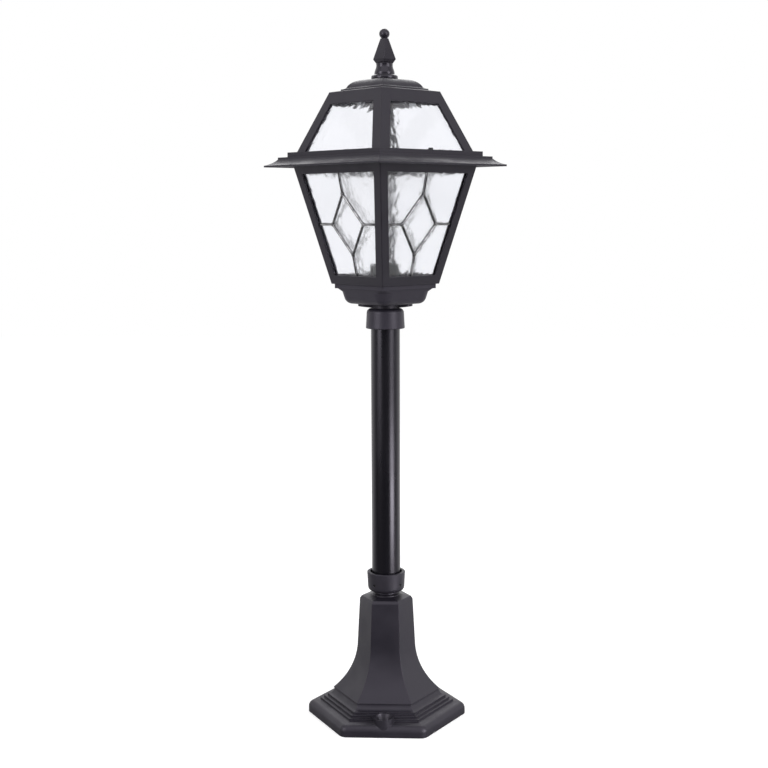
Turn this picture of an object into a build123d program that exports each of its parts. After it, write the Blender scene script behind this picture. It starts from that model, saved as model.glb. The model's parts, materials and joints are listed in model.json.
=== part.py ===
from build123d import *
import math
import os

os.makedirs("parts", exist_ok=True)

# Sizes in millimetres. The lamp stands on its foot at Z = 0 with its axis on Z; a flat of the foot and a
# corner of the lantern face -Y.

# Foot, a six-sided casting: reaches are from the axis to a flat, heights stack up from the ground.
foot_sides = 6
foot_reach = 103.2
foot_corner = 12.0
foot_rim_height = 7.5
foot_rim_round = 9.5
foot_rim_ledge = 0.6
foot_apron_run = 6.7
foot_apron_rise = 1.2
foot_steps = 3
foot_tread = 4.8
foot_riser = 3.2
foot_cove = 9.0
foot_lip = 1.0
flare_height = 69.5
flare_reach = 37.2
column_height = 68.5
column_top_reach = 34.0
shoulder_run = 2.4
shoulder_rise = 4.0
crown_rise = 2.5
foot_wall = 5.0
neck_foot_r = 20.0
neck_foot_height = 1.4
neck_bead_r = 2.3
neck_r = 15.4
neck_height = 6.2

# Fixing bosses on the front and back flats of the foot.
fixing_count = 2
fixing_turn = -90.0
fixing_circle_r = 88.0
fixing_boss_r = 14.5
fixing_boss_height = 25.5
fixing_column_r = 12.8
fixing_cup_r = 13.0
fixing_seat_r = 8.2
fixing_floor = 15.0
fixing_hole_r = 4.0

# Post, the two cup-shaped collars and the plugs inside its ends.
post_r = 21.0
post_wall = 2.0
post_length = 413.0
collar_height = 29.0
collar_rim_r = 28.2
collar_shoulder_r = 27.0
collar_shoulder_round = 6.5
collar_floor = 3.0
collar_gap = 2.6
collar_grip = 16.0
collar_edge = 0.8
plug_length = 46.0
stem_r = 13.5
plug_bore_r = 10.0
plug_nut_flats = 36.0
plug_nut_height = 8.0
nut_sides = 6
stem_spare = 2.0
grub_r = 2.0
grub_level = 11.5
grub_sunk = 0.6
lower_grub_count = 4
lower_grub_turn = 53.0
upper_grub_turn = 90.0
upper_grub_spread = 60.0

# Head plate, a round hub with two ears, and the bowl above it: square pieces are given by half of a side.
plate_hub_r = 20.0
plate_height = 6.6
ear_reach = 39.4
ear_width = 20.0
ear_root = 5.4
ear_tip = 3.4
bowl_half = 49.3
bowl_depth = 17.5
bowl_taper = 18.0
bowl_corner = 19.0
bowl_round = 12.0
bowl_wall = 4.0
bowl_floor = 5.0
bowl_flare_rise = 4.8
bowl_flare_half = 51.0
bowl_flare_corner = 8.0
bowl_rim_half = 52.5
bowl_rim_height = 6.4
bowl_rim_corner = 3.0

# Cage, leaning outwards as it rises.
cage_height = 170.5
cage_bottom_half = 55.3
cage_top_half = 93.6
cage_wall = 8.0
cage_post_face = 13.3
cage_sill = 12.4
cage_head = 14.0
cage_flange = 4.0
cage_edge_round = 1.2

# Glass, its grooves and the lead strips on it.
glass_thick = 3.0
glass_inset = 3.0
glass_bite = 5.0
came_width = 3.8
came_thick = 0.9
came_half_width = 32.5
came_half_height = 43.5

# Roof: eave lip, hollow skirt, two tiers, leaning ribs, top frame and dome.
gasket_height = 2.0
eave_drop = 6.0
eave_half = 123.6
eave_lip = 2.3
eave_corner = 1.8
skirt_rise = 8.7
skirt_sag = 1.5
skirt_wall = 2.4
tier_low_half = 108.4
tier_low_height = 2.8
tier_high_half = 98.6
tier_high_height = 7.1
seat_margin = 1.2
seat_inner_half = 80.0
rib_foot_half = 89.0
rib_rise = 83.9
rib_top_half = 55.6
rib_face = 17.0
rib_wall = 3.0
roof_head = 17.3
top_plate = 5.8
dome_foot_half = 43.9
dome_foot_rise = 2.2
dome_step = 1.7
dome_cove_run = 5.4
dome_cove_rise = 2.2
dome_bulge_run = 13.5
dome_bulge_rise = 10.3
dome_bulge_sag = 2.2
dome_crown_half = 13.5
dome_crown_rise = 0.8
dome_wall = 4.6
roof_glass_bite = 8.0
roof_glass_seat = 2.6

# Roof fixing screws, on the middle of two opposite ledges.
roof_screw_count = 2
roof_screw_turn = -45.0
roof_screw_r = 2.0
roof_screw_head_r = 3.4
roof_screw_head = 2.6
roof_lug_r = 7.0
roof_lug_height = 3.0

# Clips that press the roof panes outwards.
clip_width = 12.0
clip_thick = 1.0
clip_pad = 12.0
clip_reach = 14.0
clip_screw_r = 1.5

# Finial.
finial_flange_r = 18.9
finial_flange_height = 1.6
finial_cone_rise = 5.4
finial_cone_top_r = 14.6
finial_waist_r = 11.2
finial_waist_rise = 11.0
finial_neck_rise = 3.4
finial_square_rise = 7.0
finial_square_half = 11.3
finial_spire_rise = 28.4
finial_spire_top_half = 4.0
finial_ball_r = 7.4
finial_ball_sink = 1.0
finial_stud_r = 3.0
finial_nut_flats = 10.0
finial_nut_height = 5.0

# Lampholder on its strap.
strap_width = 16.0
strap_thick = 2.0
strap_half = 24.5
strap_pad = 10.0
strap_clear = 2.5
strap_screw_count = 2
holder_base_r = 17.0
holder_base_height = 10.0
holder_r = 20.5
holder_height = 38.0
holder_floor = 9.0
shell_r = 14.5
shell_wall = 1.0
shell_height = 23.0
contact_r = 5.5
contact_height = 3.0
holder_edge = 1.2

# Supply terminals inside the foot.
bracket_level = 37.0
bracket_thick = 2.0
bracket_width = 20.0
bracket_screw_reach = 42.0
bracket_screw_count = 2
bracket_turn = 90.0
bracket_end = 5.0
bracket_boss_r = 6.0
terminal_length = 38.0
terminal_width = 18.0
terminal_height = 15.0
terminal_poles = 3
terminal_pole_pitch = 12.0
terminal_screw_pitch = 9.0
terminal_screw_r = 2.2
terminal_screw_height = 1.2
earth_reach = 28.0

# Small screws.
screw_r = 2.0
screw_head_r = 3.4
screw_head = 2.4
screw_bite = 7.0
cage_screw_count = 4
ear_screw_count = 2
ear_screw_head = 2.0
ear_screw_bite = 3.6

# Turns of the square pieces and of pieces laid along X, and the way that pieces stand on a level.
full_turn = 360.0
quarter_turn = 90.0
square_twist = 45.0
sideways = (0, 90, 0)
seated = (Align.CENTER, Align.CENTER, Align.MIN)

# Clearances.
fit = 0.15
slot_gap = 0.2
hole_gap = 0.3
face_gap = 0.1
cut_over = 2.0

# Levels worked out from the stack of sizes above.
foot_apron_level = foot_rim_height + foot_rim_round
foot_step_level = foot_apron_level + foot_apron_rise
foot_cove_level = foot_step_level + foot_steps * foot_riser
foot_lip_level = foot_cove_level + foot_cove
flare_level = foot_lip_level + foot_lip
column_level = flare_level + flare_height
shoulder_level = column_level + column_height
crown_level = shoulder_level + shoulder_rise
neck_level = crown_level + crown_rise
neck_top = neck_level + neck_height
post_bottom = neck_top + collar_floor
post_top = post_bottom + post_length
post_middle = (post_bottom + post_top) / 2
plate_level = post_top + collar_floor
bowl_level = plate_level + plate_height
bowl_inside = bowl_level + bowl_floor
bowl_flare_level = bowl_level + bowl_depth
bowl_rim_level = bowl_flare_level + bowl_flare_rise
cage_bottom = bowl_rim_level + bowl_rim_height
cage_top = cage_bottom + cage_height
seat_level = cage_top + gasket_height
eave_level = seat_level - eave_drop
skirt_level = eave_level + eave_lip
tier_low_level = skirt_level + skirt_rise
tier_high_level = tier_low_level + tier_low_height
ledge_level = tier_high_level + tier_high_height
roof_frame_level = ledge_level + rib_rise
ceiling_level = roof_frame_level - top_plate
dome_level = roof_frame_level + dome_foot_rise
dome_cove_level = dome_level + dome_step + dome_cove_rise
dome_crown_level = dome_cove_level + dome_bulge_rise
dome_top = dome_crown_level + dome_crown_rise

post_bore_r = post_r - post_wall
plug_r = post_bore_r - fit
stem_hole_r = stem_r + fit
screw_hole_r = screw_r + hole_gap
cage_rake = (cage_top_half - cage_bottom_half) / cage_height
cage_lean = math.hypot(1, cage_rake)
roof_rake = (rib_top_half - rib_foot_half) / rib_rise
roof_lean = math.hypot(1, roof_rake)
cage_wall_level = cage_wall * cage_lean
flange_level = cage_bottom + cage_flange
flange_half = cage_bottom_half + cage_rake * cage_flange - cage_wall_level
cage_screw_reach = math.sqrt(2) * (flange_half - screw_head_r - hole_gap)
foot_ceiling = shoulder_level - foot_wall
foot_turns = [full_turn * (2 * side + 1) / (2 * foot_sides) for side in range(foot_sides // 2)]
square_turns = [square_twist, square_twist + quarter_turn]
panes = {
    "front_left": square_twist - 2 * quarter_turn,
    "front_right": square_twist - quarter_turn,
    "back_right": square_twist,
    "back_left": square_twist + quarter_turn,
}


def upright(turn):
    """An upright plane through the axis: x reaches outwards at the turn, y goes up."""
    return Plane(
        origin=(0, 0, 0),
        x_dir=Vector(1, 0, 0).rotate(Axis.Z, turn),
        z_dir=Vector(0, -1, 0).rotate(Axis.Z, turn),
    )


def leaning(turn, reach, level, rake):
    """The plane of a leaning side: x level along the side, y up the lean, z outwards."""
    out = Vector(1, 0, 0).rotate(Axis.Z, turn)
    along = Vector(0, 1, 0).rotate(Axis.Z, turn)
    return Plane(
        origin=out * reach + Vector(0, 0, level),
        x_dir=along,
        z_dir=out - Vector(0, 0, rake),
    )


def cage_side(turn, depth):
    """The plane of one side of the cage, moved inwards by a depth."""
    return leaning(turn, cage_bottom_half, cage_bottom, cage_rake).offset(-depth)


def roof_side(turn, depth):
    """The plane of one side of the roof's ribs, moved inwards by a depth."""
    return leaning(turn, rib_foot_half, ledge_level, roof_rake).offset(-depth)


def cage_panel(low, high, margin):
    """Corners, in a side's plane, of a panel between two heights, a margin in from the cage's corners."""
    low_half = cage_bottom_half + cage_rake * low - margin
    high_half = cage_bottom_half + cage_rake * high - margin
    return [
        (-low_half, low * cage_lean),
        (low_half, low * cage_lean),
        (high_half, high * cage_lean),
        (-high_half, high * cage_lean),
    ]


def roof_panel(low, high, margin):
    """Corners, in a side's plane, of a panel between two heights, a margin in from the roof's corners."""
    low_half = rib_foot_half + roof_rake * low - margin
    high_half = rib_foot_half + roof_rake * high - margin
    return [
        (-low_half, low * roof_lean),
        (low_half, low * roof_lean),
        (high_half, high * roof_lean),
        (-high_half, high * roof_lean),
    ]


# Foot: the outline of one flat's moulding, drawn across the axis, cut to six sides.
ledge_reach = foot_reach - foot_rim_round - foot_rim_ledge
apron_reach = ledge_reach - foot_apron_run
moulding_reach = apron_reach - (foot_steps - 1) * foot_tread
cove_reach = moulding_reach - foot_cove
lip_reach = cove_reach + foot_lip
taper = Vector(flare_reach - column_top_reach, -column_height)
stairs = [
    (apron_reach - foot_tread * (corner // 2), foot_step_level + foot_riser * ((corner + 1) // 2))
    for corner in range(2 * foot_steps)
]

with BuildSketch() as foot_outline:
    with BuildLine():
        Polyline((0, 0), (ledge_reach, 0), (ledge_reach, foot_apron_level), *stairs)
        TangentArc((moulding_reach, foot_cove_level), (cove_reach, foot_lip_level), tangent=(-1, 0))
        Polyline((cove_reach, foot_lip_level), (lip_reach, foot_lip_level), (lip_reach, flare_level))
        TangentArc((flare_reach, column_level), (lip_reach, flare_level), tangent=taper)
        Polyline(
            (flare_reach, column_level),
            (column_top_reach, shoulder_level),
            (column_top_reach - shoulder_run, crown_level),
            (neck_foot_r, neck_level),
            (0, neck_level),
            (0, 0),
        )
    make_face()
    mirror(about=Plane.YZ)

with BuildSketch() as foot_hollow:
    with BuildLine():
        Polyline(
            (0, 0),
            (foot_reach - foot_wall, 0),
            (foot_reach - foot_wall, foot_rim_height - foot_wall / 2),
            (apron_reach - foot_wall, foot_step_level - foot_wall),
            (cove_reach - foot_wall, foot_cove_level),
            (cove_reach - foot_wall, flare_level - foot_wall),
            (flare_reach, flare_level + foot_cove),
            (flare_reach - foot_wall, column_level),
            (column_top_reach - foot_wall, foot_ceiling),
            (0, foot_ceiling),
            (0, 0),
        )
    make_face()
    mirror(about=Plane.YZ)

with BuildPart() as cavity:
    for number, turn in enumerate(foot_turns):
        with BuildSketch(upright(turn)):
            add(foot_hollow.sketch)
        extrude(amount=2 * foot_reach, both=True, mode=Mode.INTERSECT if number else Mode.ADD)
    with BuildSketch():
        with PolarLocations(fixing_circle_r, fixing_count, start_angle=fixing_turn):
            Circle(fixing_column_r)
    extrude(amount=fixing_boss_height, mode=Mode.SUBTRACT)
    with BuildSketch(Plane.XY.offset(bracket_level + bracket_thick)):
        with PolarLocations(bracket_screw_reach, bracket_screw_count, start_angle=bracket_turn):
            Circle(bracket_boss_r)
    extrude(amount=flare_height, mode=Mode.SUBTRACT)

with BuildPart() as rim:
    with BuildSketch() as foot_plan:
        RegularPolygon(foot_reach, foot_sides, major_radius=False)
        fillet(foot_plan.vertices(), foot_corner)
    extrude(amount=foot_apron_level)
    fillet(rim.faces().sort_by(Axis.Z)[-1].edges(), foot_rim_round)

with BuildPart() as base:
    for number, turn in enumerate(foot_turns):
        with BuildSketch(upright(turn)):
            add(foot_outline.sketch)
        extrude(amount=2 * foot_reach, both=True, mode=Mode.INTERSECT if number else Mode.ADD)
    add(rim.part)
    with BuildSketch():
        with PolarLocations(fixing_circle_r, fixing_count, start_angle=fixing_turn):
            Circle(fixing_boss_r)
    extrude(amount=fixing_boss_height)
    add(cavity.part, mode=Mode.SUBTRACT)
    with Locations((0, 0, fixing_floor)):
        with PolarLocations(fixing_circle_r, fixing_count, start_angle=fixing_turn):
            Cone(fixing_seat_r, fixing_cup_r, fixing_boss_height - fixing_floor, align=seated, mode=Mode.SUBTRACT)
    with BuildSketch(Plane.XY.offset(fixing_boss_height)):
        with PolarLocations(fixing_circle_r, fixing_count, start_angle=fixing_turn):
            Circle(fixing_cup_r)
    extrude(amount=foot_cove, mode=Mode.SUBTRACT)
    with BuildSketch():
        with PolarLocations(fixing_circle_r, fixing_count, start_angle=fixing_turn):
            Circle(fixing_hole_r)
    extrude(amount=fixing_floor, mode=Mode.SUBTRACT)
    with BuildSketch(Plane.XZ):
        with BuildLine():
            Polyline(
                (0, crown_level),
                (neck_foot_r, crown_level),
                (neck_foot_r, neck_level + neck_foot_height),
                (neck_r, neck_level + neck_foot_height),
                (neck_r, neck_top),
                (0, neck_top),
                (0, crown_level),
            )
        make_face()
        with Locations((neck_r, neck_level + neck_foot_height + neck_bead_r)):
            Circle(neck_bead_r)
    revolve(axis=Axis.Z)
    with BuildSketch(Plane.XY.offset(foot_ceiling)):
        Circle(stem_hole_r)
    extrude(amount=neck_top - foot_ceiling, mode=Mode.SUBTRACT)
    with BuildSketch(Plane.XY.offset(bracket_level + bracket_thick)):
        with PolarLocations(bracket_screw_reach, bracket_screw_count, start_angle=bracket_turn):
            Circle(screw_hole_r)
    extrude(amount=screw_bite + hole_gap, mode=Mode.SUBTRACT)
base.part.label = "base"
export_step(base.part, "parts/base.step")

# Plug in the foot of the post: its stem runs down through collar and neck to a nut under the ceiling.
stem_bottom = foot_ceiling - plug_nut_height - stem_spare
with BuildPart() as base_plug:
    with BuildSketch(Plane.XY.offset(stem_bottom)):
        Circle(stem_r)
    extrude(amount=post_bottom - stem_bottom)
    with BuildSketch(Plane.XY.offset(post_bottom)):
        Circle(plug_r)
    extrude(amount=plug_length)
    with BuildSketch(Plane.XY.offset(stem_bottom)):
        Circle(plug_bore_r)
    extrude(amount=post_bottom + plug_length - stem_bottom, mode=Mode.SUBTRACT)
base_plug.part.label = "base_plug"
export_step(base_plug.part, "parts/base_plug.step")

with BuildPart() as base_plug_nut:
    with BuildSketch(Plane.XY.offset(foot_ceiling - plug_nut_height)):
        RegularPolygon(plug_nut_flats / 2, nut_sides, major_radius=False)
        Circle(stem_hole_r, mode=Mode.SUBTRACT)
    extrude(amount=plug_nut_height)
base_plug_nut.part.label = "base_plug_nut"
export_step(base_plug_nut.part, "parts/base_plug_nut.step")

# Collars: one cup, upright at the foot of the post and upside down at its head.
collar_open = neck_top + collar_height
grip_r = post_r + fit
with BuildPart() as cup:
    with BuildSketch(Plane.XZ):
        with BuildLine():
            Polyline((stem_hole_r, neck_top), (collar_shoulder_r - collar_shoulder_round, neck_top))
            TangentArc(
                (collar_shoulder_r - collar_shoulder_round, neck_top),
                (collar_shoulder_r, neck_top + collar_shoulder_round),
                tangent=(1, 0),
            )
            Polyline(
                (collar_shoulder_r, neck_top + collar_shoulder_round),
                (collar_rim_r, collar_open - collar_edge),
                (collar_rim_r - collar_edge, collar_open),
                (post_r + collar_gap, collar_open),
                (post_r + collar_gap, post_bottom + collar_grip),
                (grip_r, post_bottom + collar_grip - collar_gap),
                (grip_r, post_bottom),
                (stem_hole_r, post_bottom),
                (stem_hole_r, neck_top),
            )
        make_face()
    revolve(axis=Axis.Z)

with BuildPart() as lower_collar:
    add(cup.part)
    with Locations((0, 0, neck_top + grub_level)):
        with PolarLocations(0, lower_grub_count, start_angle=lower_grub_turn):
            Cylinder(
                grub_r + face_gap,
                collar_rim_r,
                rotation=sideways,
                align=seated,
                mode=Mode.SUBTRACT,
            )
lower_collar.part.label = "lower_collar"
export_step(lower_collar.part, "parts/lower_collar.step")

upper_grub_level = 2 * post_middle - neck_top - grub_level
upper_grub_turns = [upper_grub_turn - upper_grub_spread, upper_grub_turn + upper_grub_spread]
with BuildPart() as upper_collar:
    mirror(cup.part, about=Plane.XY.offset(post_middle))
    for turn in upper_grub_turns:
        with Locations(Location((0, 0, upper_grub_level), (0, 0, turn))):
            Cylinder(
                grub_r + face_gap,
                collar_rim_r,
                rotation=sideways,
                align=seated,
                mode=Mode.SUBTRACT,
            )
upper_collar.part.label = "upper_collar"
export_step(upper_collar.part, "parts/upper_collar.step")

# Grub screws run from just inside the collar to the plug, through holes in the post.
grub_inner = plug_r + face_gap
grub_length = collar_shoulder_r - grub_sunk - grub_inner
with BuildPart() as lower_grub_screws:
    with Locations((0, 0, neck_top + grub_level)):
        with PolarLocations(grub_inner, lower_grub_count, start_angle=lower_grub_turn):
            Cylinder(
                grub_r,
                grub_length,
                rotation=sideways,
                align=seated,
            )
lower_grub_screws.part.label = "lower_grub_screws"
export_step(lower_grub_screws.part, "parts/lower_grub_screws.step")

with BuildPart() as upper_grub_screws:
    for turn in upper_grub_turns:
        with Locations(Location((0, 0, upper_grub_level), (0, 0, turn))):
            with Locations((grub_inner, 0, 0)):
                Cylinder(
                    grub_r,
                    grub_length,
                    rotation=sideways,
                    align=seated,
                )
upper_grub_screws.part.label = "upper_grub_screws"
export_step(upper_grub_screws.part, "parts/upper_grub_screws.step")

with BuildPart() as post:
    with BuildSketch(Plane.XY.offset(post_bottom)):
        Circle(post_r)
        Circle(post_bore_r, mode=Mode.SUBTRACT)
    extrude(amount=post_length)
    with Locations((0, 0, neck_top + grub_level)):
        with PolarLocations(0, lower_grub_count, start_angle=lower_grub_turn):
            Cylinder(
                grub_r + hole_gap,
                collar_rim_r,
                rotation=sideways,
                align=seated,
                mode=Mode.SUBTRACT,
            )
    for turn in upper_grub_turns:
        with Locations(Location((0, 0, upper_grub_level), (0, 0, turn))):
            Cylinder(
                grub_r + hole_gap,
                collar_rim_r,
                rotation=sideways,
                align=seated,
                mode=Mode.SUBTRACT,
            )
post.part.label = "post"
export_step(post.part, "parts/post.step")

# Plug in the head of the post: its stem runs up through collar, plate and bowl to a nut in the bowl.
head_stem_top = bowl_inside + plug_nut_height + stem_spare
with BuildPart() as head_plug:
    with BuildSketch(Plane.XY.offset(post_top - plug_length)):
        Circle(plug_r)
    extrude(amount=plug_length)
    with BuildSketch(Plane.XY.offset(post_top)):
        Circle(stem_r)
    extrude(amount=head_stem_top - post_top)
    with BuildSketch(Plane.XY.offset(post_top - plug_length)):
        Circle(plug_bore_r)
    extrude(amount=head_stem_top - post_top + plug_length, mode=Mode.SUBTRACT)
head_plug.part.label = "head_plug"
export_step(head_plug.part, "parts/head_plug.step")

with BuildPart() as head_plug_nut:
    with BuildSketch(Plane.XY.offset(bowl_inside)):
        RegularPolygon(plug_nut_flats / 2, nut_sides, major_radius=False)
        Circle(stem_hole_r, mode=Mode.SUBTRACT)
    extrude(amount=plug_nut_height)
head_plug_nut.part.label = "head_plug_nut"
export_step(head_plug_nut.part, "parts/head_plug_nut.step")

ear_screw_reach = ear_reach - ear_width / 2
ear_screw_level = bowl_level - ear_tip
with BuildPart() as head_plate:
    with BuildSketch(Plane.XZ):
        with BuildLine():
            Polyline(
                (0, bowl_level),
                (ear_reach, bowl_level),
                (ear_reach, bowl_level - ear_tip),
                (plate_hub_r, bowl_level - ear_root),
                (0, bowl_level - ear_root),
                (0, bowl_level),
            )
        make_face()
        mirror(about=Plane.YZ)
    extrude(amount=ear_width, both=True)
    with BuildSketch(Plane.XY.offset(plate_level)):
        SlotOverall(2 * ear_reach, ear_width)
    extrude(amount=plate_height, mode=Mode.INTERSECT)
    with BuildSketch(Plane.XY.offset(plate_level)):
        Circle(plate_hub_r)
    extrude(amount=plate_height)
    with BuildSketch(Plane.XY.offset(plate_level)):
        Circle(stem_hole_r)
        with PolarLocations(ear_screw_reach, ear_screw_count):
            Circle(screw_hole_r)
    extrude(amount=plate_height, mode=Mode.SUBTRACT)
    with BuildSketch(Plane.XY.offset(plate_level)):
        with PolarLocations(ear_screw_reach, ear_screw_count):
            Circle(screw_head_r + hole_gap)
    extrude(amount=plate_height - ear_tip + ear_screw_head, mode=Mode.SUBTRACT)
head_plate.part.label = "head_plate"
export_step(head_plate.part, "parts/head_plate.step")

with BuildPart() as plate_screws:
    with BuildSketch(Plane.XY.offset(ear_screw_level)):
        with PolarLocations(ear_screw_reach, ear_screw_count):
            Circle(screw_head_r)
    extrude(amount=ear_screw_head)
    with BuildSketch(Plane.XY.offset(ear_screw_level)):
        with PolarLocations(ear_screw_reach, ear_screw_count):
            Circle(screw_r)
    extrude(amount=ear_tip + ear_screw_bite)
plate_screws.part.label = "plate_screws"
export_step(plate_screws.part, "parts/plate_screws.step")

# Bowl: a tapered pan with rounded corners that flares out to a square rim under the cage.
bowl_inner_half = bowl_half - bowl_wall
bowl_inner_corner = bowl_corner - bowl_wall
with BuildPart() as bowl_inner:
    with BuildSketch(Plane.XY.offset(bowl_flare_level)):
        RectangleRounded(2 * bowl_inner_half, 2 * bowl_inner_half, bowl_inner_corner, rotation=square_twist)
    extrude(amount=bowl_inside - bowl_flare_level, taper=bowl_taper)
    with BuildSketch(Plane.XY.offset(bowl_flare_level)):
        RectangleRounded(2 * bowl_inner_half, 2 * bowl_inner_half, bowl_inner_corner, rotation=square_twist)
    extrude(amount=cage_bottom - bowl_flare_level)

with BuildPart() as bowl:
    with BuildSketch(Plane.XY.offset(bowl_flare_level)):
        RectangleRounded(2 * bowl_half, 2 * bowl_half, bowl_corner, rotation=square_twist)
    extrude(amount=-bowl_depth, taper=bowl_taper)
    fillet(bowl.faces().sort_by(Axis.Z)[0].edges(), bowl_round)
    with BuildSketch(Plane.XY.offset(bowl_flare_level)):
        RectangleRounded(2 * bowl_half, 2 * bowl_half, bowl_corner, rotation=square_twist)
    with BuildSketch(Plane.XY.offset(bowl_rim_level)):
        RectangleRounded(2 * bowl_flare_half, 2 * bowl_flare_half, bowl_flare_corner, rotation=square_twist)
    loft()
    with BuildSketch(Plane.XY.offset(bowl_rim_level)):
        RectangleRounded(2 * bowl_rim_half, 2 * bowl_rim_half, bowl_rim_corner, rotation=square_twist)
    extrude(amount=bowl_rim_height)
    add(bowl_inner.part, mode=Mode.SUBTRACT)
    with BuildSketch(Plane.XY.offset(bowl_level)):
        Circle(stem_hole_r)
    extrude(amount=bowl_floor, mode=Mode.SUBTRACT)
    with BuildSketch(Plane.XY.offset(bowl_level)):
        with PolarLocations(ear_screw_reach, ear_screw_count):
            Circle(screw_r + fit)
    extrude(amount=ear_screw_bite + face_gap, mode=Mode.SUBTRACT)
    with BuildSketch(Plane.XY.offset(cage_bottom)):
        with PolarLocations(cage_screw_reach, cage_screw_count):
            Circle(screw_r + fit)
    extrude(amount=-(screw_bite - cage_flange + cut_over), mode=Mode.SUBTRACT)
    with BuildSketch(Plane.XY.offset(bowl_inside)):
        with PolarLocations(strap_half + strap_pad / 2, strap_screw_count, start_angle=square_twist):
            Circle(screw_r + fit)
    extrude(amount=-(bowl_floor - strap_thick), mode=Mode.SUBTRACT)
bowl.part.label = "bowl"
export_step(bowl.part, "parts/bowl.step")

# Lampholder strap: a bent strip that bridges the plug's nut.
strap_level = head_stem_top + strap_clear
strap_plane = upright(square_twist)
with BuildPart() as holder_strap:
    with BuildSketch(strap_plane):
        with BuildLine():
            Polyline(
                (0, strap_level),
                (strap_half - strap_thick, strap_level),
                (strap_half - strap_thick, bowl_inside),
                (strap_half + strap_pad, bowl_inside),
                (strap_half + strap_pad, bowl_inside + strap_thick),
                (strap_half, bowl_inside + strap_thick),
                (strap_half, strap_level + strap_thick),
                (0, strap_level + strap_thick),
                (0, strap_level),
            )
        make_face()
        mirror(about=Plane.YZ)
    extrude(amount=strap_width / 2, both=True)
    with BuildSketch(Plane.XY.offset(bowl_inside)):
        with PolarLocations(strap_half + strap_pad / 2, strap_screw_count, start_angle=square_twist):
            Circle(screw_hole_r)
        Circle(contact_r)
    extrude(amount=strap_level + strap_thick - bowl_inside, mode=Mode.SUBTRACT)
holder_strap.part.label = "holder_strap"
export_step(holder_strap.part, "parts/holder_strap.step")

with BuildPart() as strap_screws:
    with BuildSketch(Plane.XY.offset(bowl_inside + strap_thick)):
        with PolarLocations(strap_half + strap_pad / 2, strap_screw_count, start_angle=square_twist):
            Circle(screw_head_r)
    extrude(amount=screw_head)
    with BuildSketch(Plane.XY.offset(bowl_inside + strap_thick)):
        with PolarLocations(strap_half + strap_pad / 2, strap_screw_count, start_angle=square_twist):
            Circle(screw_r)
    extrude(amount=-(bowl_floor - face_gap))
strap_screws.part.label = "strap_screws"
export_step(strap_screws.part, "parts/strap_screws.step")

# Lampholder: a stepped cup, a screw shell inside it and a contact on its floor.
holder_level = strap_level + strap_thick
holder_top = holder_level + holder_height
cup_level = holder_level + holder_floor
with BuildPart() as lampholder_body:
    with BuildSketch(Plane.XZ):
        with BuildLine():
            Polyline(
                (contact_r, holder_level),
                (holder_base_r, holder_level),
                (holder_base_r, holder_level + holder_base_height),
                (holder_r, holder_level + holder_base_height + holder_edge),
                (holder_r, holder_top - holder_edge),
                (holder_r - holder_edge, holder_top),
                (shell_r + fit, holder_top),
                (shell_r + fit, cup_level),
                (contact_r / 2, cup_level),
                (contact_r / 2, holder_level + holder_floor / 2),
                (contact_r, holder_level + holder_floor / 2),
                (contact_r, holder_level),
            )
        make_face()
    revolve(axis=Axis.Z)
lampholder_body.part.label = "lampholder_body"
export_step(lampholder_body.part, "parts/lampholder_body.step")

with BuildPart() as lampholder_shell:
    with BuildSketch(Plane.XY.offset(cup_level + contact_height)):
        Circle(shell_r)
        Circle(shell_r - shell_wall, mode=Mode.SUBTRACT)
    extrude(amount=shell_height)
lampholder_shell.part.label = "lampholder_shell"
export_step(lampholder_shell.part, "parts/lampholder_shell.step")

with BuildPart() as lampholder_contact:
    with BuildSketch(Plane.XY.offset(cup_level)):
        Circle(contact_r)
    extrude(amount=contact_height / 2)
    with BuildSketch(Plane.XY.offset(cup_level + contact_height / 2)):
        Circle(contact_r / 2)
    extrude(amount=contact_height / 2)
lampholder_contact.part.label = "lampholder_contact"
export_step(lampholder_contact.part, "parts/lampholder_contact.step")

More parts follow.
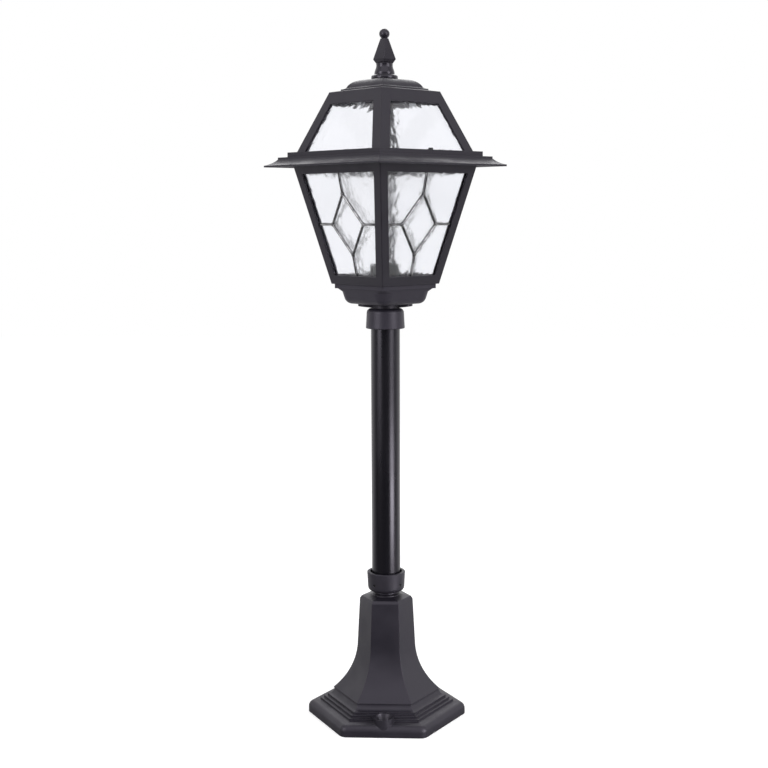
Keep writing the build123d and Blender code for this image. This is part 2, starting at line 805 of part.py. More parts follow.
# Cage: four leaning sides cut to windows, with a groove for each pane open at the top.
pane_margin = cage_post_face - glass_bite
pane_low = cage_sill - glass_bite
pane_high = cage_height - cage_flange / 2
roof_screw_reach = (rib_foot_half + tier_high_half) / 2
with BuildPart() as cage:
    with BuildSketch(Plane.XY.offset(cage_bottom)):
        RectangleRounded(2 * cage_bottom_half, 2 * cage_bottom_half, cage_edge_round, rotation=square_twist)
    with BuildSketch(Plane.XY.offset(cage_top)):
        RectangleRounded(2 * cage_top_half, 2 * cage_top_half, cage_edge_round, rotation=square_twist)
    loft()
    with BuildSketch(Plane.XY.offset(cage_top - roof_lug_height)):
        with PolarLocations(roof_screw_reach, roof_screw_count, start_angle=roof_screw_turn):
            Circle(roof_lug_r)
    extrude(amount=roof_lug_height)
    with BuildSketch(Plane.XY.offset(flange_level)):
        Rectangle(2 * flange_half, 2 * flange_half, rotation=square_twist)
    with BuildSketch(Plane.XY.offset(cage_top)):
        Rectangle(
            2 * (cage_top_half - cage_wall_level),
            2 * (cage_top_half - cage_wall_level),
            rotation=square_twist,
        )
    loft(mode=Mode.SUBTRACT)
    with BuildSketch(Plane.XY.offset(cage_bottom)):
        RectangleRounded(2 * bowl_inner_half, 2 * bowl_inner_half, bowl_inner_corner, rotation=square_twist)
    extrude(amount=cage_flange, mode=Mode.SUBTRACT)
    for turn in panes.values():
        with BuildSketch(cage_side(turn, -cut_over)):
            Polygon(*cage_panel(cage_sill, cage_height - cage_head, cage_post_face), align=None)
        extrude(amount=-(cage_wall + 2 * cut_over), mode=Mode.SUBTRACT)
        with BuildSketch(cage_side(turn, glass_inset - slot_gap)):
            Polygon(
                *cage_panel(pane_low, cage_height + cut_over, pane_margin - slot_gap),
                align=None,
            )
        extrude(amount=-(glass_thick + 2 * slot_gap), mode=Mode.SUBTRACT)
    with BuildSketch(Plane.XY.offset(cage_bottom)):
        with PolarLocations(cage_screw_reach, cage_screw_count):
            Circle(screw_hole_r)
    extrude(amount=cage_flange, mode=Mode.SUBTRACT)
    with BuildSketch(Plane.XY.offset(cage_top - roof_lug_height)):
        with PolarLocations(roof_screw_reach, roof_screw_count, start_angle=roof_screw_turn):
            Circle(roof_screw_r + hole_gap)
    extrude(amount=roof_lug_height, mode=Mode.SUBTRACT)
cage.part.label = "cage"
export_step(cage.part, "parts/cage.step")

with BuildPart() as cage_screws:
    with BuildSketch(Plane.XY.offset(flange_level)):
        with PolarLocations(cage_screw_reach, cage_screw_count):
            Circle(screw_head_r)
    extrude(amount=screw_head)
    with BuildSketch(Plane.XY.offset(flange_level)):
        with PolarLocations(cage_screw_reach, cage_screw_count):
            Circle(screw_r)
    extrude(amount=-screw_bite)
cage_screws.part.label = "cage_screws"
export_step(cage_screws.part, "parts/cage_screws.step")

# Panes of the cage and the lead strips on both their faces.
came_level = (cage_sill + cage_height - cage_head) / 2
came_low = cage_sill * cage_lean + face_gap
came_high = (cage_height - cage_head) * cage_lean - face_gap
came_mid = came_level * cage_lean
came_side = cage_bottom_half + cage_rake * came_level - cage_post_face - face_gap
came_side_slack = cage_rake * came_width
with BuildSketch() as diamond:
    Polygon(
        (0, came_mid - came_half_height),
        (came_half_width, came_mid),
        (0, came_mid + came_half_height),
        (-came_half_width, came_mid),
        align=None,
    )

for name, turn in panes.items():
    with BuildPart() as pane:
        with BuildSketch(cage_side(turn, glass_inset)):
            Polygon(*cage_panel(pane_low, pane_high, pane_margin), align=None)
        extrude(amount=-glass_thick)
    pane.part.label = f"cage_glass_{name}"
    export_step(pane.part, f"parts/cage_glass_{name}.step")

    with BuildPart() as came:
        for depth in (glass_inset - came_thick, glass_inset + glass_thick):
            with BuildSketch(cage_side(turn, depth)):
                offset(diamond.sketch, amount=came_width / 2, kind=Kind.INTERSECTION)
                with Locations((0, (came_low + came_mid - came_half_height) / 2)):
                    Rectangle(came_width, came_mid - came_half_height - came_low)
                with Locations((0, (came_high + came_mid + came_half_height) / 2)):
                    Rectangle(came_width, came_high - came_mid - came_half_height)
                leg = came_side - came_side_slack - came_half_width
                with Locations(
                    (came_half_width + leg / 2, came_mid),
                    (-came_half_width - leg / 2, came_mid),
                ):
                    Rectangle(leg, came_width)
                offset(
                    diamond.sketch,
                    amount=-came_width / 2,
                    kind=Kind.INTERSECTION,
                    mode=Mode.SUBTRACT,
                )
            extrude(amount=-came_thick)
    came.part.label = f"cage_came_{name}"
    export_step(came.part, f"parts/cage_came_{name}.step")

with BuildPart() as roof_gasket:
    with BuildSketch(Plane.XY.offset(cage_top)):
        Rectangle(2 * cage_top_half, 2 * cage_top_half, rotation=square_twist)
        Rectangle(
            2 * (cage_top_half - cage_wall_level),
            2 * (cage_top_half - cage_wall_level),
            rotation=square_twist,
            mode=Mode.SUBTRACT,
        )
        with PolarLocations(roof_screw_reach, roof_screw_count, start_angle=roof_screw_turn):
            Circle(roof_screw_r + hole_gap, mode=Mode.SUBTRACT)
    extrude(amount=gasket_height)
roof_gasket.part.label = "roof_gasket"
export_step(roof_gasket.part, "parts/roof_gasket.step")

# Roof: the outline of one side from the eave to the dome, drawn across the axis, cut to four sides.
dome_cove_half = dome_foot_half - dome_cove_run
dome_bulge_half = dome_cove_half - dome_bulge_run
rib_wall_level = rib_wall * roof_lean
with BuildSketch() as roof_outline:
    with BuildLine():
        Polyline((0, eave_level), (eave_half, eave_level), (eave_half, skirt_level))
        SagittaArc((eave_half, skirt_level), (tier_low_half, tier_low_level), skirt_sag)
        Polyline(
            (tier_low_half, tier_low_level),
            (tier_low_half, tier_high_level),
            (tier_high_half, tier_high_level),
            (tier_high_half, ledge_level),
            (rib_foot_half, ledge_level),
            (rib_top_half, roof_frame_level),
            (dome_foot_half, dome_level),
            (dome_foot_half, dome_level + dome_step),
        )
        TangentArc(
            (dome_foot_half, dome_level + dome_step),
            (dome_cove_half, dome_cove_level),
            tangent=(-1, 0),
        )
        SagittaArc((dome_cove_half, dome_cove_level), (dome_bulge_half, dome_crown_level), -dome_bulge_sag)
        Polyline(
            (dome_bulge_half, dome_crown_level),
            (dome_crown_half, dome_top),
            (0, dome_top),
            (0, eave_level),
        )
    make_face()
    mirror(about=Plane.YZ)

seat_half = tier_high_half - seat_margin
skirt_inside_half = tier_low_half - skirt_wall
skirt_inside_level = tier_low_level - skirt_wall
inner_foot_half = rib_foot_half - rib_wall_level
inner_top_half = rib_top_half - roof_rake * top_plate - rib_wall_level
dome_inside_half = dome_cove_half - dome_wall
clip_outer = rib_top_half - roof_rake * top_plate - (rib_wall + glass_thick + 2 * face_gap) * roof_lean
clip_screw_reach = clip_outer - clip_pad / 2 - clip_screw_r
with BuildSketch() as roof_hollow:
    with BuildLine():
        Polyline(
            (0, eave_level),
            (eave_half - skirt_wall, eave_level),
            (skirt_inside_half, skirt_inside_level),
            (seat_half, skirt_inside_level),
            (seat_half, seat_level),
            (seat_inner_half, seat_level),
            (seat_inner_half, ledge_level),
            (inner_foot_half, ledge_level),
            (inner_top_half, ceiling_level),
            (dome_inside_half, ceiling_level),
            (dome_inside_half, dome_cove_level),
            (dome_bulge_half, dome_crown_level - dome_wall),
            (dome_crown_half, dome_top - dome_wall),
            (0, dome_top - dome_wall),
            (0, eave_level),
        )
    make_face()
    mirror(about=Plane.YZ)

with BuildPart() as roof_cavity:
    for number, turn in enumerate(square_turns):
        with BuildSketch(upright(turn)):
            add(roof_hollow.sketch)
        extrude(amount=2 * eave_half, both=True, mode=Mode.INTERSECT if number else Mode.ADD)

roof_margin = rib_face - roof_glass_bite
with BuildPart() as roof:
    for number, turn in enumerate(square_turns):
        with BuildSketch(upright(turn)):
            add(roof_outline.sketch)
        extrude(amount=2 * eave_half, both=True, mode=Mode.INTERSECT if number else Mode.ADD)
    with BuildSketch(Plane.XY.offset(eave_level)) as eave_plan:
        Rectangle(2 * eave_half, 2 * eave_half, rotation=square_twist)
        chamfer(eave_plan.vertices(), eave_corner)
    extrude(amount=dome_top - eave_level, mode=Mode.INTERSECT)
    add(roof_cavity.part, mode=Mode.SUBTRACT)
    for turn in panes.values():
        with BuildSketch(roof_side(turn, -cut_over)):
            Polygon(*roof_panel(0, rib_rise - roof_head, rib_face), align=None)
        extrude(amount=-(rib_wall + cut_over), mode=Mode.SUBTRACT)
        with BuildSketch(roof_side(turn, rib_wall)):
            Polygon(*roof_panel(-roof_glass_seat, 2 * cut_over, roof_margin - slot_gap), align=None)
        extrude(amount=-(face_gap + glass_thick + slot_gap), mode=Mode.SUBTRACT)
    with BuildSketch(Plane.XY.offset(seat_level)):
        with PolarLocations(roof_screw_reach, roof_screw_count, start_angle=roof_screw_turn):
            Circle(roof_screw_r + hole_gap)
    extrude(amount=ledge_level - seat_level, mode=Mode.SUBTRACT)
    with BuildSketch(Plane.XY.offset(dome_top)):
        Circle(finial_stud_r + hole_gap)
    extrude(amount=-2 * dome_wall, mode=Mode.SUBTRACT)
    with BuildSketch(Plane.XY.offset(ceiling_level)):
        with PolarLocations(clip_screw_reach, len(panes), start_angle=square_twist):
            Circle(clip_screw_r + fit)
    extrude(amount=top_plate / 2, mode=Mode.SUBTRACT)
roof.part.label = "roof"
export_step(roof.part, "parts/roof.step")

for name, turn in panes.items():
    with BuildPart() as roof_pane:
        with BuildSketch(roof_side(turn, rib_wall + face_gap)):
            Polygon(
                *roof_panel(-roof_glass_seat, rib_rise - roof_head + roof_glass_bite, roof_margin),
                align=None,
            )
        extrude(amount=-glass_thick)
    roof_pane.part.label = f"roof_glass_{name}"
    export_step(roof_pane.part, f"parts/roof_glass_{name}.step")

# Clips: a foot screwed under the roof's top plate and a leg along the pane.
clip_thick_level = clip_thick * roof_lean
with BuildPart() as glass_clips:
    for turn in panes.values():
        with BuildSketch(upright(turn)):
            with BuildLine():
                Polyline(
                    (clip_outer - clip_pad, ceiling_level),
                    (clip_outer, ceiling_level),
                    (clip_outer - roof_rake * clip_reach, ceiling_level - clip_reach),
                    (clip_outer - roof_rake * clip_reach - clip_thick_level, ceiling_level - clip_reach),
                    (clip_outer - roof_rake * clip_thick - clip_thick_level, ceiling_level - clip_thick),
                    (clip_outer - clip_pad, ceiling_level - clip_thick),
                    (clip_outer - clip_pad, ceiling_level),
                )
            make_face()
        extrude(amount=clip_width / 2, both=True)
    with BuildSketch(Plane.XY.offset(ceiling_level)):
        with PolarLocations(clip_screw_reach, len(panes), start_angle=square_twist):
            Circle(clip_screw_r + fit)
    extrude(amount=-clip_thick, mode=Mode.SUBTRACT)
glass_clips.part.label = "glass_clips"
export_step(glass_clips.part, "parts/glass_clips.step")

with BuildPart() as clip_screws:
    with BuildSketch(Plane.XY.offset(ceiling_level - clip_thick)):
        with PolarLocations(clip_screw_reach, len(panes), start_angle=square_twist):
            Circle(clip_screw_r)
    extrude(amount=top_plate / 2)
    with BuildSketch(Plane.XY.offset(ceiling_level - clip_thick)):
        with PolarLocations(clip_screw_reach, len(panes), start_angle=square_twist):
            Circle(2 * clip_screw_r)
    extrude(amount=-clip_screw_r)
clip_screws.part.label = "clip_screws"
export_step(clip_screws.part, "parts/clip_screws.step")

with BuildPart() as roof_screws:
    with BuildSketch(Plane.XY.offset(ledge_level)):
        with PolarLocations(roof_screw_reach, roof_screw_count, start_angle=roof_screw_turn):
            Circle(roof_screw_head_r)
    extrude(amount=roof_screw_head)
    with BuildSketch(Plane.XY.offset(cage_top - roof_lug_height)):
        with PolarLocations(roof_screw_reach, roof_screw_count, start_angle=roof_screw_turn):
            Circle(roof_screw_r)
    extrude(amount=ledge_level - cage_top + roof_lug_height)
roof_screws.part.label = "roof_screws"
export_step(roof_screws.part, "parts/roof_screws.step")

# Finial: round flange, cone and waist, a square spire and a ball, with a stud through the dome.
finial_cone_level = dome_top + finial_flange_height
finial_waist_level = finial_cone_level + finial_cone_rise
finial_neck_level = finial_waist_level + finial_waist_rise
finial_square_level = finial_neck_level + finial_neck_rise
finial_spire_level = finial_square_level + finial_square_rise
finial_tip_level = finial_spire_level + finial_spire_rise
stud_bottom = dome_top - 2 * dome_wall - finial_nut_height
with BuildPart() as finial:
    with BuildSketch(Plane.XZ):
        with BuildLine():
            Polyline(
                (0, dome_top),
                (finial_flange_r, dome_top),
                (finial_flange_r, finial_cone_level),
                (finial_cone_top_r, finial_waist_level),
            )
            TangentArc(
                (finial_waist_r, finial_neck_level),
                (finial_cone_top_r, finial_waist_level),
                tangent=(0, -1),
            )
            Polyline(
                (finial_waist_r, finial_neck_level),
                (finial_waist_r, finial_square_level),
                (0, finial_square_level),
                (0, dome_top),
            )
        make_face()
    revolve(axis=Axis.Z)
    with BuildSketch(Plane.XY.offset(finial_square_level)):
        Rectangle(
            math.sqrt(2) * finial_waist_r,
            math.sqrt(2) * finial_waist_r,
            rotation=square_twist,
        )
    with BuildSketch(Plane.XY.offset(finial_spire_level)):
        Rectangle(2 * finial_square_half, 2 * finial_square_half, rotation=square_twist)
    loft()
    with BuildSketch(Plane.XY.offset(finial_spire_level)):
        Rectangle(2 * finial_square_half, 2 * finial_square_half, rotation=square_twist)
    with BuildSketch(Plane.XY.offset(finial_tip_level)):
        Rectangle(2 * finial_spire_top_half, 2 * finial_spire_top_half, rotation=square_twist)
    loft()
    with Locations((0, 0, finial_tip_level + finial_ball_r - finial_ball_sink)):
        Sphere(finial_ball_r)
    with BuildSketch(Plane.XY.offset(stud_bottom)):
        Circle(finial_stud_r)
    extrude(amount=dome_top - stud_bottom)
finial.part.label = "finial"
export_step(finial.part, "parts/finial.step")

with BuildPart() as finial_nut:
    with BuildSketch(Plane.XY.offset(dome_top - dome_wall - finial_nut_height)):
        RegularPolygon(finial_nut_flats / 2, nut_sides, major_radius=False)
        Circle(finial_stud_r + fit, mode=Mode.SUBTRACT)
    extrude(amount=finial_nut_height)
finial_nut.part.label = "finial_nut"
export_step(finial_nut.part, "parts/finial_nut.step")

# Supply terminals: a strip across two bosses in the foot, with the block and an earth screw under it.
terminal_level = bracket_level - terminal_height
bracket_half = bracket_screw_reach + bracket_end
with BuildPart() as terminal_bracket:
    with BuildSketch(Plane.XY.offset(bracket_level)):
        RectangleRounded(bracket_width, 2 * bracket_half, bracket_end)
        with PolarLocations(bracket_screw_reach, bracket_screw_count, start_angle=bracket_turn):
            Circle(screw_hole_r, mode=Mode.SUBTRACT)
        with Locations((0, earth_reach)):
            Circle(screw_hole_r, mode=Mode.SUBTRACT)
    extrude(amount=bracket_thick)
terminal_bracket.part.label = "terminal_bracket"
export_step(terminal_bracket.part, "parts/terminal_bracket.step")

with BuildPart() as bracket_screws:
    with BuildSketch(Plane.XY.offset(bracket_level)):
        with PolarLocations(bracket_screw_reach, bracket_screw_count, start_angle=bracket_turn):
            Circle(screw_head_r)
    extrude(amount=-screw_head)
    with BuildSketch(Plane.XY.offset(bracket_level)):
        with PolarLocations(bracket_screw_reach, bracket_screw_count, start_angle=bracket_turn):
            Circle(screw_r)
    extrude(amount=bracket_thick + screw_bite)
bracket_screws.part.label = "bracket_screws"
export_step(bracket_screws.part, "parts/bracket_screws.step")

with BuildPart() as terminal_block:
    with Locations((0, 0, terminal_level)):
        Box(
            terminal_width,
            terminal_length,
            terminal_height,
            align=seated,
        )
    with BuildSketch(Plane.XY.offset(terminal_level)):
        with GridLocations(terminal_screw_pitch, terminal_pole_pitch, 2, terminal_poles):
            Circle(terminal_screw_r + fit)
    extrude(amount=2 * terminal_screw_height, mode=Mode.SUBTRACT)
terminal_block.part.label = "terminal_block"
export_step(terminal_block.part, "parts/terminal_block.step")

with BuildPart() as terminal_screws:
    with BuildSketch(Plane.XY.offset(terminal_level + terminal_screw_height)):
        with GridLocations(terminal_screw_pitch, terminal_pole_pitch, 2, terminal_poles):
            Circle(terminal_screw_r)
    extrude(amount=terminal_screw_height)
terminal_screws.part.label = "terminal_screws"
export_step(terminal_screws.part, "parts/terminal_screws.step")

with BuildPart() as earth_screw:
    with BuildSketch(Plane.XY.offset(bracket_level)):
        with Locations((0, earth_reach)):
            Circle(screw_head_r)
    extrude(amount=-screw_head)
    with BuildSketch(Plane.XY.offset(bracket_level)):
        with Locations((0, earth_reach)):
            Circle(screw_r)
    extrude(amount=bracket_thick + screw_bite / 2)
earth_screw.part.label = "earth_screw"
export_step(earth_screw.part, "parts/earth_screw.step")
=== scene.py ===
"""Looks of the outdoor post lamp: finishes, water glass, lead strips, screws, studio and camera."""

import json
import logging
import math
from collections.abc import Callable, Iterable
from dataclasses import dataclass, replace
from enum import Enum
from typing import Self

import bmesh
import bpy
from mathutils import Matrix, Vector, noise


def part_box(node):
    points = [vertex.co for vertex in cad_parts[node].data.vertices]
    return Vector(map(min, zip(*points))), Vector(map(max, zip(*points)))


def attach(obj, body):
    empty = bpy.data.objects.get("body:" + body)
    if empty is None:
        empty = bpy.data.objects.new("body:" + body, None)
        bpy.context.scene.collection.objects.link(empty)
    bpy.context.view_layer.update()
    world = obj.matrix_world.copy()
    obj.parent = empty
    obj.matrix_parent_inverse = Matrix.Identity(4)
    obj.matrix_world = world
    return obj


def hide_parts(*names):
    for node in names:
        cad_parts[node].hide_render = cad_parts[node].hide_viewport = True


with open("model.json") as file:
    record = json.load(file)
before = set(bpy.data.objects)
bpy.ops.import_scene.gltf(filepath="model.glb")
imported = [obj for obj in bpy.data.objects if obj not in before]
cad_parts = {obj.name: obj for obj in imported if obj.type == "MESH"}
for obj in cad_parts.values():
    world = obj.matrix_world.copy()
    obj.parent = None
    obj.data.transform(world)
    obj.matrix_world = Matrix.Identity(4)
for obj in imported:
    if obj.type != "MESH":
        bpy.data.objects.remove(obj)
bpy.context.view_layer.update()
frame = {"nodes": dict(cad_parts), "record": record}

Socket = bpy.types.NodeSocket
Colour = tuple[float, float, float, float]
Span = tuple[float, float]
Change = Colour | Span | float
Feed = Socket | float | str | tuple | Vector | bpy.types.Object | bpy.types.Material
Inputs = dict[str | int, Feed]
Ring = list[bmesh.types.BMVert]
Reach = Callable[[float], float]
Outline = tuple[Reach, float]

LOG = logging.getLogger("post_lamp")
MM = 0.001
UP = Vector((0, 0, 1))
EVEN = Vector((1, 1, 1))
FULL_TURN = math.tau
HALF_TURN = math.pi
QUARTER_TURN = math.pi / 2
UNIT: Span = (0, 1)
WHITE: Colour = (1, 1, 1, 1)
# Points of a CAD solid that lie closer than this are one point.
MERGE = 0.01 * MM
# What counts as near an end or a line, as a share of the length or width there.
NEAR_SHARE = 0.25
# Keeps a divisor away from zero.
SLIVER = 0.001


class Body(Enum):
    """The moving bodies of the frame."""

    STAND = "stand"
    ROOF = "roof"


class Slot(Enum):
    """The material slots of the record."""

    CAST_BLACK = "cast_black"
    TUBE_BLACK = "tube_black"
    BLACK_SCREWS = "black_screws"
    STEEL = "steel"
    WATER_GLASS = "water_glass"
    LEAD = "lead"
    HOLDER_PLASTIC = "holder_plastic"
    BRASS = "brass"
    GASKET_RUBBER = "gasket_rubber"
    TERMINAL_PLASTIC = "terminal_plastic"


class Side(Enum):
    """The lantern's four sides, by the turn of their outward face in degrees."""

    FRONT_LEFT = -135
    FRONT_RIGHT = -45
    BACK_RIGHT = 45
    BACK_LEFT = 135

    @property
    def label(self) -> str:
        """The side's ending in the names of the CAD nodes."""
        return self.name.lower()

    @property
    def outward(self) -> Vector:
        """The level direction that the side faces."""
        turn = math.radians(self.value)
        return Vector((math.cos(turn), math.sin(turn), 0))

    @property
    def along(self) -> Vector:
        """The level direction from left to right, seen from outside."""
        return UP.cross(self.outward)


class Recess(Enum):
    """The drive recesses of screw heads."""

    HEX = "hex"
    SLOT = "slot"
    CROSS = "cross"


class Facing(Enum):
    """Which way the heads of a set of screws face."""

    UP = "up"
    DOWN = "down"
    OUT = "out"


class Ray(Enum):
    """The kinds of rays that the studio answers in its own way."""

    CAMERA = "Is Camera Ray"
    GLOSSY = "Is Glossy Ray"
    THROUGH = "Is Transmission Ray"


class Mix(Enum):
    """What a mix node mixes."""

    COLOUR = "RGBA"
    VALUE = "FLOAT"


class Reckoning(Enum):
    """What a maths node works out, with the kind of node that does it."""

    LARGER = ("ShaderNodeMath", "MAXIMUM")
    PRODUCT = ("ShaderNodeMath", "MULTIPLY")
    DOT = ("ShaderNodeVectorMath", "DOT_PRODUCT")
    LENGTH = ("ShaderNodeVectorMath", "LENGTH")


class NodeBench:
    """Adds, sets and links the nodes of one tree."""

    def __init__(self, tree: bpy.types.NodeTree) -> None:
        """Takes the tree to work on."""
        self.tree = tree

    @staticmethod
    def _in_use(sockets: Iterable[Socket], name: str) -> Socket:
        """The socket of that name that the node's options leave in use."""
        return next(socket for socket in sockets if socket.enabled and socket.name == name)

    def add(self, kind: str, inputs: Inputs | None = None, **options: object) -> bpy.types.Node:
        """Adds one node.

        Args:
            kind: the node's type name.
            inputs: values or sockets for its inputs, by name, or by number where a name comes twice.
            options: the node's own options.

        Returns:
            The new node.
        """
        node = self.tree.nodes.new(kind)
        for name, value in options.items():
            setattr(node, name, value)
        for key, value in (inputs or {}).items():
            socket = node.inputs[key] if isinstance(key, int) else self._in_use(node.inputs, key)
            if isinstance(value, Socket):
                self.tree.links.new(value, socket)
            else:
                socket.default_value = value
        return node

    def out(self, node: bpy.types.Node, name: str) -> Socket:
        """The output of a node that is in use under that name."""
        return self._in_use(node.outputs, name)

    def take(self, output: str, kind: str, inputs: Inputs | None = None, **options: object) -> Socket:
        """Adds one node, as add does, and takes its output of that name."""
        return self.out(self.add(kind, inputs, **options), output)

    def reckon(self, reckoning: Reckoning, *feeds: Socket) -> Socket:
        """What a maths node makes of its feeds, in their order."""
        kind, operation = reckoning.value
        return self.take("Value", kind, dict(enumerate(feeds)), operation=operation)

    def pattern(self, size: float, detail: float, stretch: Vector = EVEN) -> Socket:
        """A noise pattern in the object's own space.

        Args:
            size: the pattern's grain in metres.
            detail: how many finer layers it has.
            stretch: how much it is squeezed along each axis.

        Returns:
            The pattern's value, from 0 to 1.
        """
        place = self.take("Object", "ShaderNodeTexCoord")
        scaled = self.take("Vector", "ShaderNodeMapping", {"Vector": place, "Scale": stretch})
        texture = self.add("ShaderNodeTexNoise", {"Vector": scaled, "Scale": 1 / size, "Detail": detail})
        return texture.outputs[0]

    def spread(self, value: Socket, source: Span, target: Span) -> Socket:
        """A value moved from one range into another.

        Args:
            value: the value to move.
            source: the range it comes from.
            target: the range it goes to.

        Returns:
            The moved value.
        """
        ends = dict(zip(("From Min", "From Max", "To Min", "To Max"), source + target))
        return self.take("Result", "ShaderNodeMapRange", {"Value": value} | ends)

    def blend(self, share: Socket, first: Feed, second: Feed, kind: Mix = Mix.COLOUR) -> Socket:
        """A colour or a value between two others.

        Args:
            share: how much of the second there is.
            first: what stands at 0.
            second: what stands at 1.
            kind: whether they are colours or values.

        Returns:
            The mixed colour or value.
        """
        inputs = {"Factor": share, "A": first, "B": second}
        return self.take("Result", "ShaderNodeMix", inputs, data_type=kind.value)

    def surface(self, inputs: Inputs) -> None:
        """Ends a material's tree in one shader with these inputs."""
        shader = self.take("BSDF", "ShaderNodeBsdfPrincipled", inputs)
        self.add("ShaderNodeOutputMaterial", {"Surface": shader})


def new_material(name: str) -> tuple[bpy.types.Material, NodeBench]:
    """An empty node material.

    Args:
        name: the material's name.

    Returns:
        The material, and a bench for its tree.
    """
    material = bpy.data.materials.new(name)
    material.use_nodes = True
    material.node_tree.nodes.clear()
    return material, NodeBench(material.node_tree)


@dataclass(frozen=True)
class Finish:
    """A finish with mottled colour, uneven gloss, a fine grain and softened edges, whose edge colour is
    partly wear and partly a painted edge highlight.
    """

    slot: Slot
    colour: Colour
    mottle: Colour
    # The colour of the rounded edges: partly wear, partly a painted highlight along them.
    edge_colour: Colour
    metallic: float = 0.0
    roughness: float = 0.5
    roughness_swing: float = 0.06
    specular: float = 0.5
    specular_tint: Colour = WHITE
    mottle_size: float = 45 * MM
    grain_size: float = 1.3 * MM
    grain_depth: float = 0.02 * MM
    edge_round: float = 0.5 * MM
    edge_range: Span = (0.02, 0.3)
    mottle_range: Span = (0.4, 0.62)
    stretch: Vector = EVEN
    detail: float = 3.0
    grade: str = "finish"

    def build(self) -> bpy.types.Material:
        """Makes the finish's material.

        Returns:
            The material, named for its slot and grade.
        """
        material, bench = new_material(f"{self.slot.value}_{self.grade}")
        broad = bench.pattern(self.mottle_size, self.detail, self.stretch)
        fine = bench.pattern(self.grain_size, self.detail)
        soft = bench.take("Normal", "ShaderNodeBevel", {"Radius": self.edge_round})
        true = bench.take("Normal", "ShaderNodeNewGeometry")
        first, full = self.edge_range
        # Mask of the rounded edges where the edge colour goes: partly wear, partly a painted highlight.
        worn_and_lit_edges = bench.spread(bench.reckon(Reckoning.DOT, soft, true), (1 - first, 1 - full), UNIT)
        cloud = bench.spread(broad, self.mottle_range, UNIT)
        coat = bench.blend(cloud, self.colour, self.mottle)
        swing = (self.roughness - self.roughness_swing, self.roughness + self.roughness_swing)
        bumps = {"Height": fine, "Distance": self.grain_depth, "Normal": soft}
        bench.surface(
            {
                "Base Color": bench.blend(worn_and_lit_edges, coat, self.edge_colour),
                "Metallic": self.metallic,
                "Roughness": bench.spread(broad, self.mottle_range, swing),
                "Specular IOR Level": self.specular,
                "Specular Tint": self.specular_tint,
                "Normal": bench.take("Normal", "ShaderNodeBump", bumps),
            }
        )
        return material


@dataclass(frozen=True)
class GlassFinish:
    """Clear glass with a faint tint and fine ripples."""

    slot: Slot
    colour: Colour
    tint: Colour
    # Below that of real glass, so that the waves bend the backdrop only as far as in the photo.
    index: float = 1.36
    roughness: Span = (0.15, 0.2)
    tint_size: float = 60 * MM
    ripple_size: float = 5 * MM
    ripple_depth: float = 0.04 * MM
    detail: float = 1.0
    grade: str = "finish"

    def build(self) -> bpy.types.Material:
        """Makes the glass material.

        Returns:
            The material, named for its slot and grade.
        """
        material, bench = new_material(f"{self.slot.value}_{self.grade}")
        broad = bench.pattern(self.tint_size, self.detail)
        fine = bench.pattern(self.ripple_size, self.detail)
        bumps = {"Height": fine, "Distance": self.ripple_depth}
        bench.surface(
            {
                "Base Color": bench.blend(broad, self.colour, self.tint),
                "Roughness": bench.spread(broad, UNIT, self.roughness),
                "IOR": self.index,
                "Transmission Weight": 1.0,
                "Normal": bench.take("Normal", "ShaderNodeBump", bumps),
            }
        )
        return material


